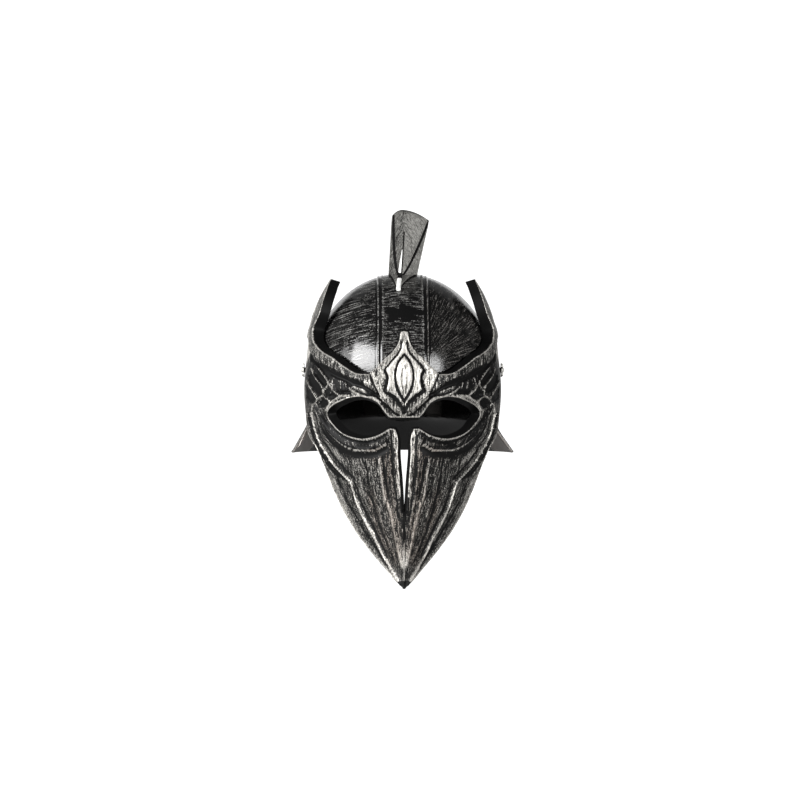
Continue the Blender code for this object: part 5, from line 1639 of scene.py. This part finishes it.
materials = {paint.slot: make_paint(paint) for paint in PAINTS}
painted = {
    "mask_paint": [fine_mask],
    "skull_paint": [fine_skull],
    "crest_paint": [fine_crest, fine_tongue, fine_foot],
    "rivet_paint": fine_rivets,
}
for slot, pieces in painted.items():
    for piece in pieces:
        piece.data.materials.append(materials[slot])
print("materials:", sorted(materials))

# %% [markdown]
# ## Floor, backdrop and light
#
# The photograph has a bare white ground. A plane and a white world would do, but a sweep, a floor that
# runs up into a backdrop in one curve, shows no horizon from any side. A large soft light stands at
# the left and gives the bright patch on the dome. A small one beside it and a weak one behind draw
# the pale edges, and a low one at the right lifts the shadows. The world is white to the camera and
# nearly dark to the helmet, which keeps the black plastic black.

# %% Backdrop
FLOOR_DROP = 0.62
SWEEP_START = 1.6
SWEEP_RADIUS = 0.8
SWEEP_HALF_WIDTH = 4.0
SWEEP_FRONT = -4.0
SWEEP_TOP = 3.0
SWEEP_GREY = 0.25
SWEEP_ROUGH = 0.9
SWEEP_BENDS = 16


def make_sweep():
    """Floor profile carried across: flat, then a quarter circle, then straight up."""
    bend = np.linspace(0.0, math.pi / 2, SWEEP_BENDS + 1)
    back = SWEEP_START + SWEEP_RADIUS
    y = np.concatenate([[SWEEP_FRONT], SWEEP_START + SWEEP_RADIUS * np.sin(bend), [back]])
    z = np.concatenate([[0.0], SWEEP_RADIUS * (1.0 - np.cos(bend)), [SWEEP_TOP]]) - FLOOR_DROP
    sides = [np.column_stack([np.full(len(y), x), y, z]) for x in (-SWEEP_HALF_WIDTH, SWEEP_HALF_WIDTH)]
    quads = turned_over(grid_quads(np.arange(2 * len(y)).reshape(2, len(y)).T))
    mesh = bpy.data.meshes.new("sweep")
    mesh.from_pydata(np.vstack(sides).tolist(), [], quads.tolist())
    mesh.polygons.foreach_set("use_smooth", np.ones(len(quads), bool))
    sweep = bpy.data.objects.new("sweep", mesh)
    bpy.context.scene.collection.objects.link(sweep)
    material = bpy.data.materials.new("sweep_white")
    material.use_nodes = True
    shader = material.node_tree.nodes["Principled BSDF"]
    shader.inputs["Base Color"].default_value = (SWEEP_GREY, SWEEP_GREY, SWEEP_GREY, 1.0)
    shader.inputs["Roughness"].default_value = SWEEP_ROUGH
    shader.inputs["Emission Color"].default_value = (1.0, 1.0, 1.0, 1.0)
    seen = add_node(material.node_tree, "ShaderNodeLightPath").outputs["Is Camera Ray"]
    material.node_tree.links.new(seen, shader.inputs["Emission Strength"])
    mesh.materials.append(material)
    print("backdrop of", len(quads), "faces")


make_sweep()

# %% Lights
AIM = Vector((0.0, 0.0, -0.10))
Light = namedtuple("Light", "name place width height power")
LIGHTS = (
    Light("softbox_left", (-1.80, -0.98, 0.42), 1.60, 1.00, 92.0),
    Light("softbox_side", (-2.05, -0.05, 0.20), 0.80, 0.70, 8.0),
    Light("fill_right", (1.50, -1.70, 0.10), 1.40, 0.75, 58.0),
    Light("behind", (0.0, 2.20, 0.30), 2.20, 1.00, 5.0),
)


def make_light(light):
    """A rectangular area light turned to the helmet."""
    lamp = bpy.data.lights.new(light.name, "AREA")
    lamp.shape = "RECTANGLE"
    lamp.size = light.width
    lamp.size_y = light.height
    lamp.energy = light.power
    item = bpy.data.objects.new(light.name, lamp)
    item.location = light.place
    item.rotation_euler = (AIM - item.location).to_track_quat("-Z", "Y").to_euler()
    bpy.context.scene.collection.objects.link(item)


for light in LIGHTS:
    make_light(light)
print("lights:", [light.name for light in LIGHTS])

# %% World
WORLD_GREY = 0.03


def make_world():
    """White to the camera, grey to everything else."""
    world = bpy.data.worlds.new("studio")
    world.use_nodes = True
    tree = world.node_tree
    background = tree.nodes["Background"]
    seen = add_node(tree, "ShaderNodeLightPath").outputs["Is Camera Ray"]
    background.inputs["Color"].default_value = (1.0, 1.0, 1.0, 1.0)
    strength = math_node(tree, "MULTIPLY_ADD", seen, 1.0 - WORLD_GREY, WORLD_GREY)
    tree.links.new(strength, background.inputs["Strength"])
    bpy.context.scene.world = world


make_world()
bpy.context.scene.view_settings.view_transform = "Standard"
print("world:", bpy.context.scene.world.name)
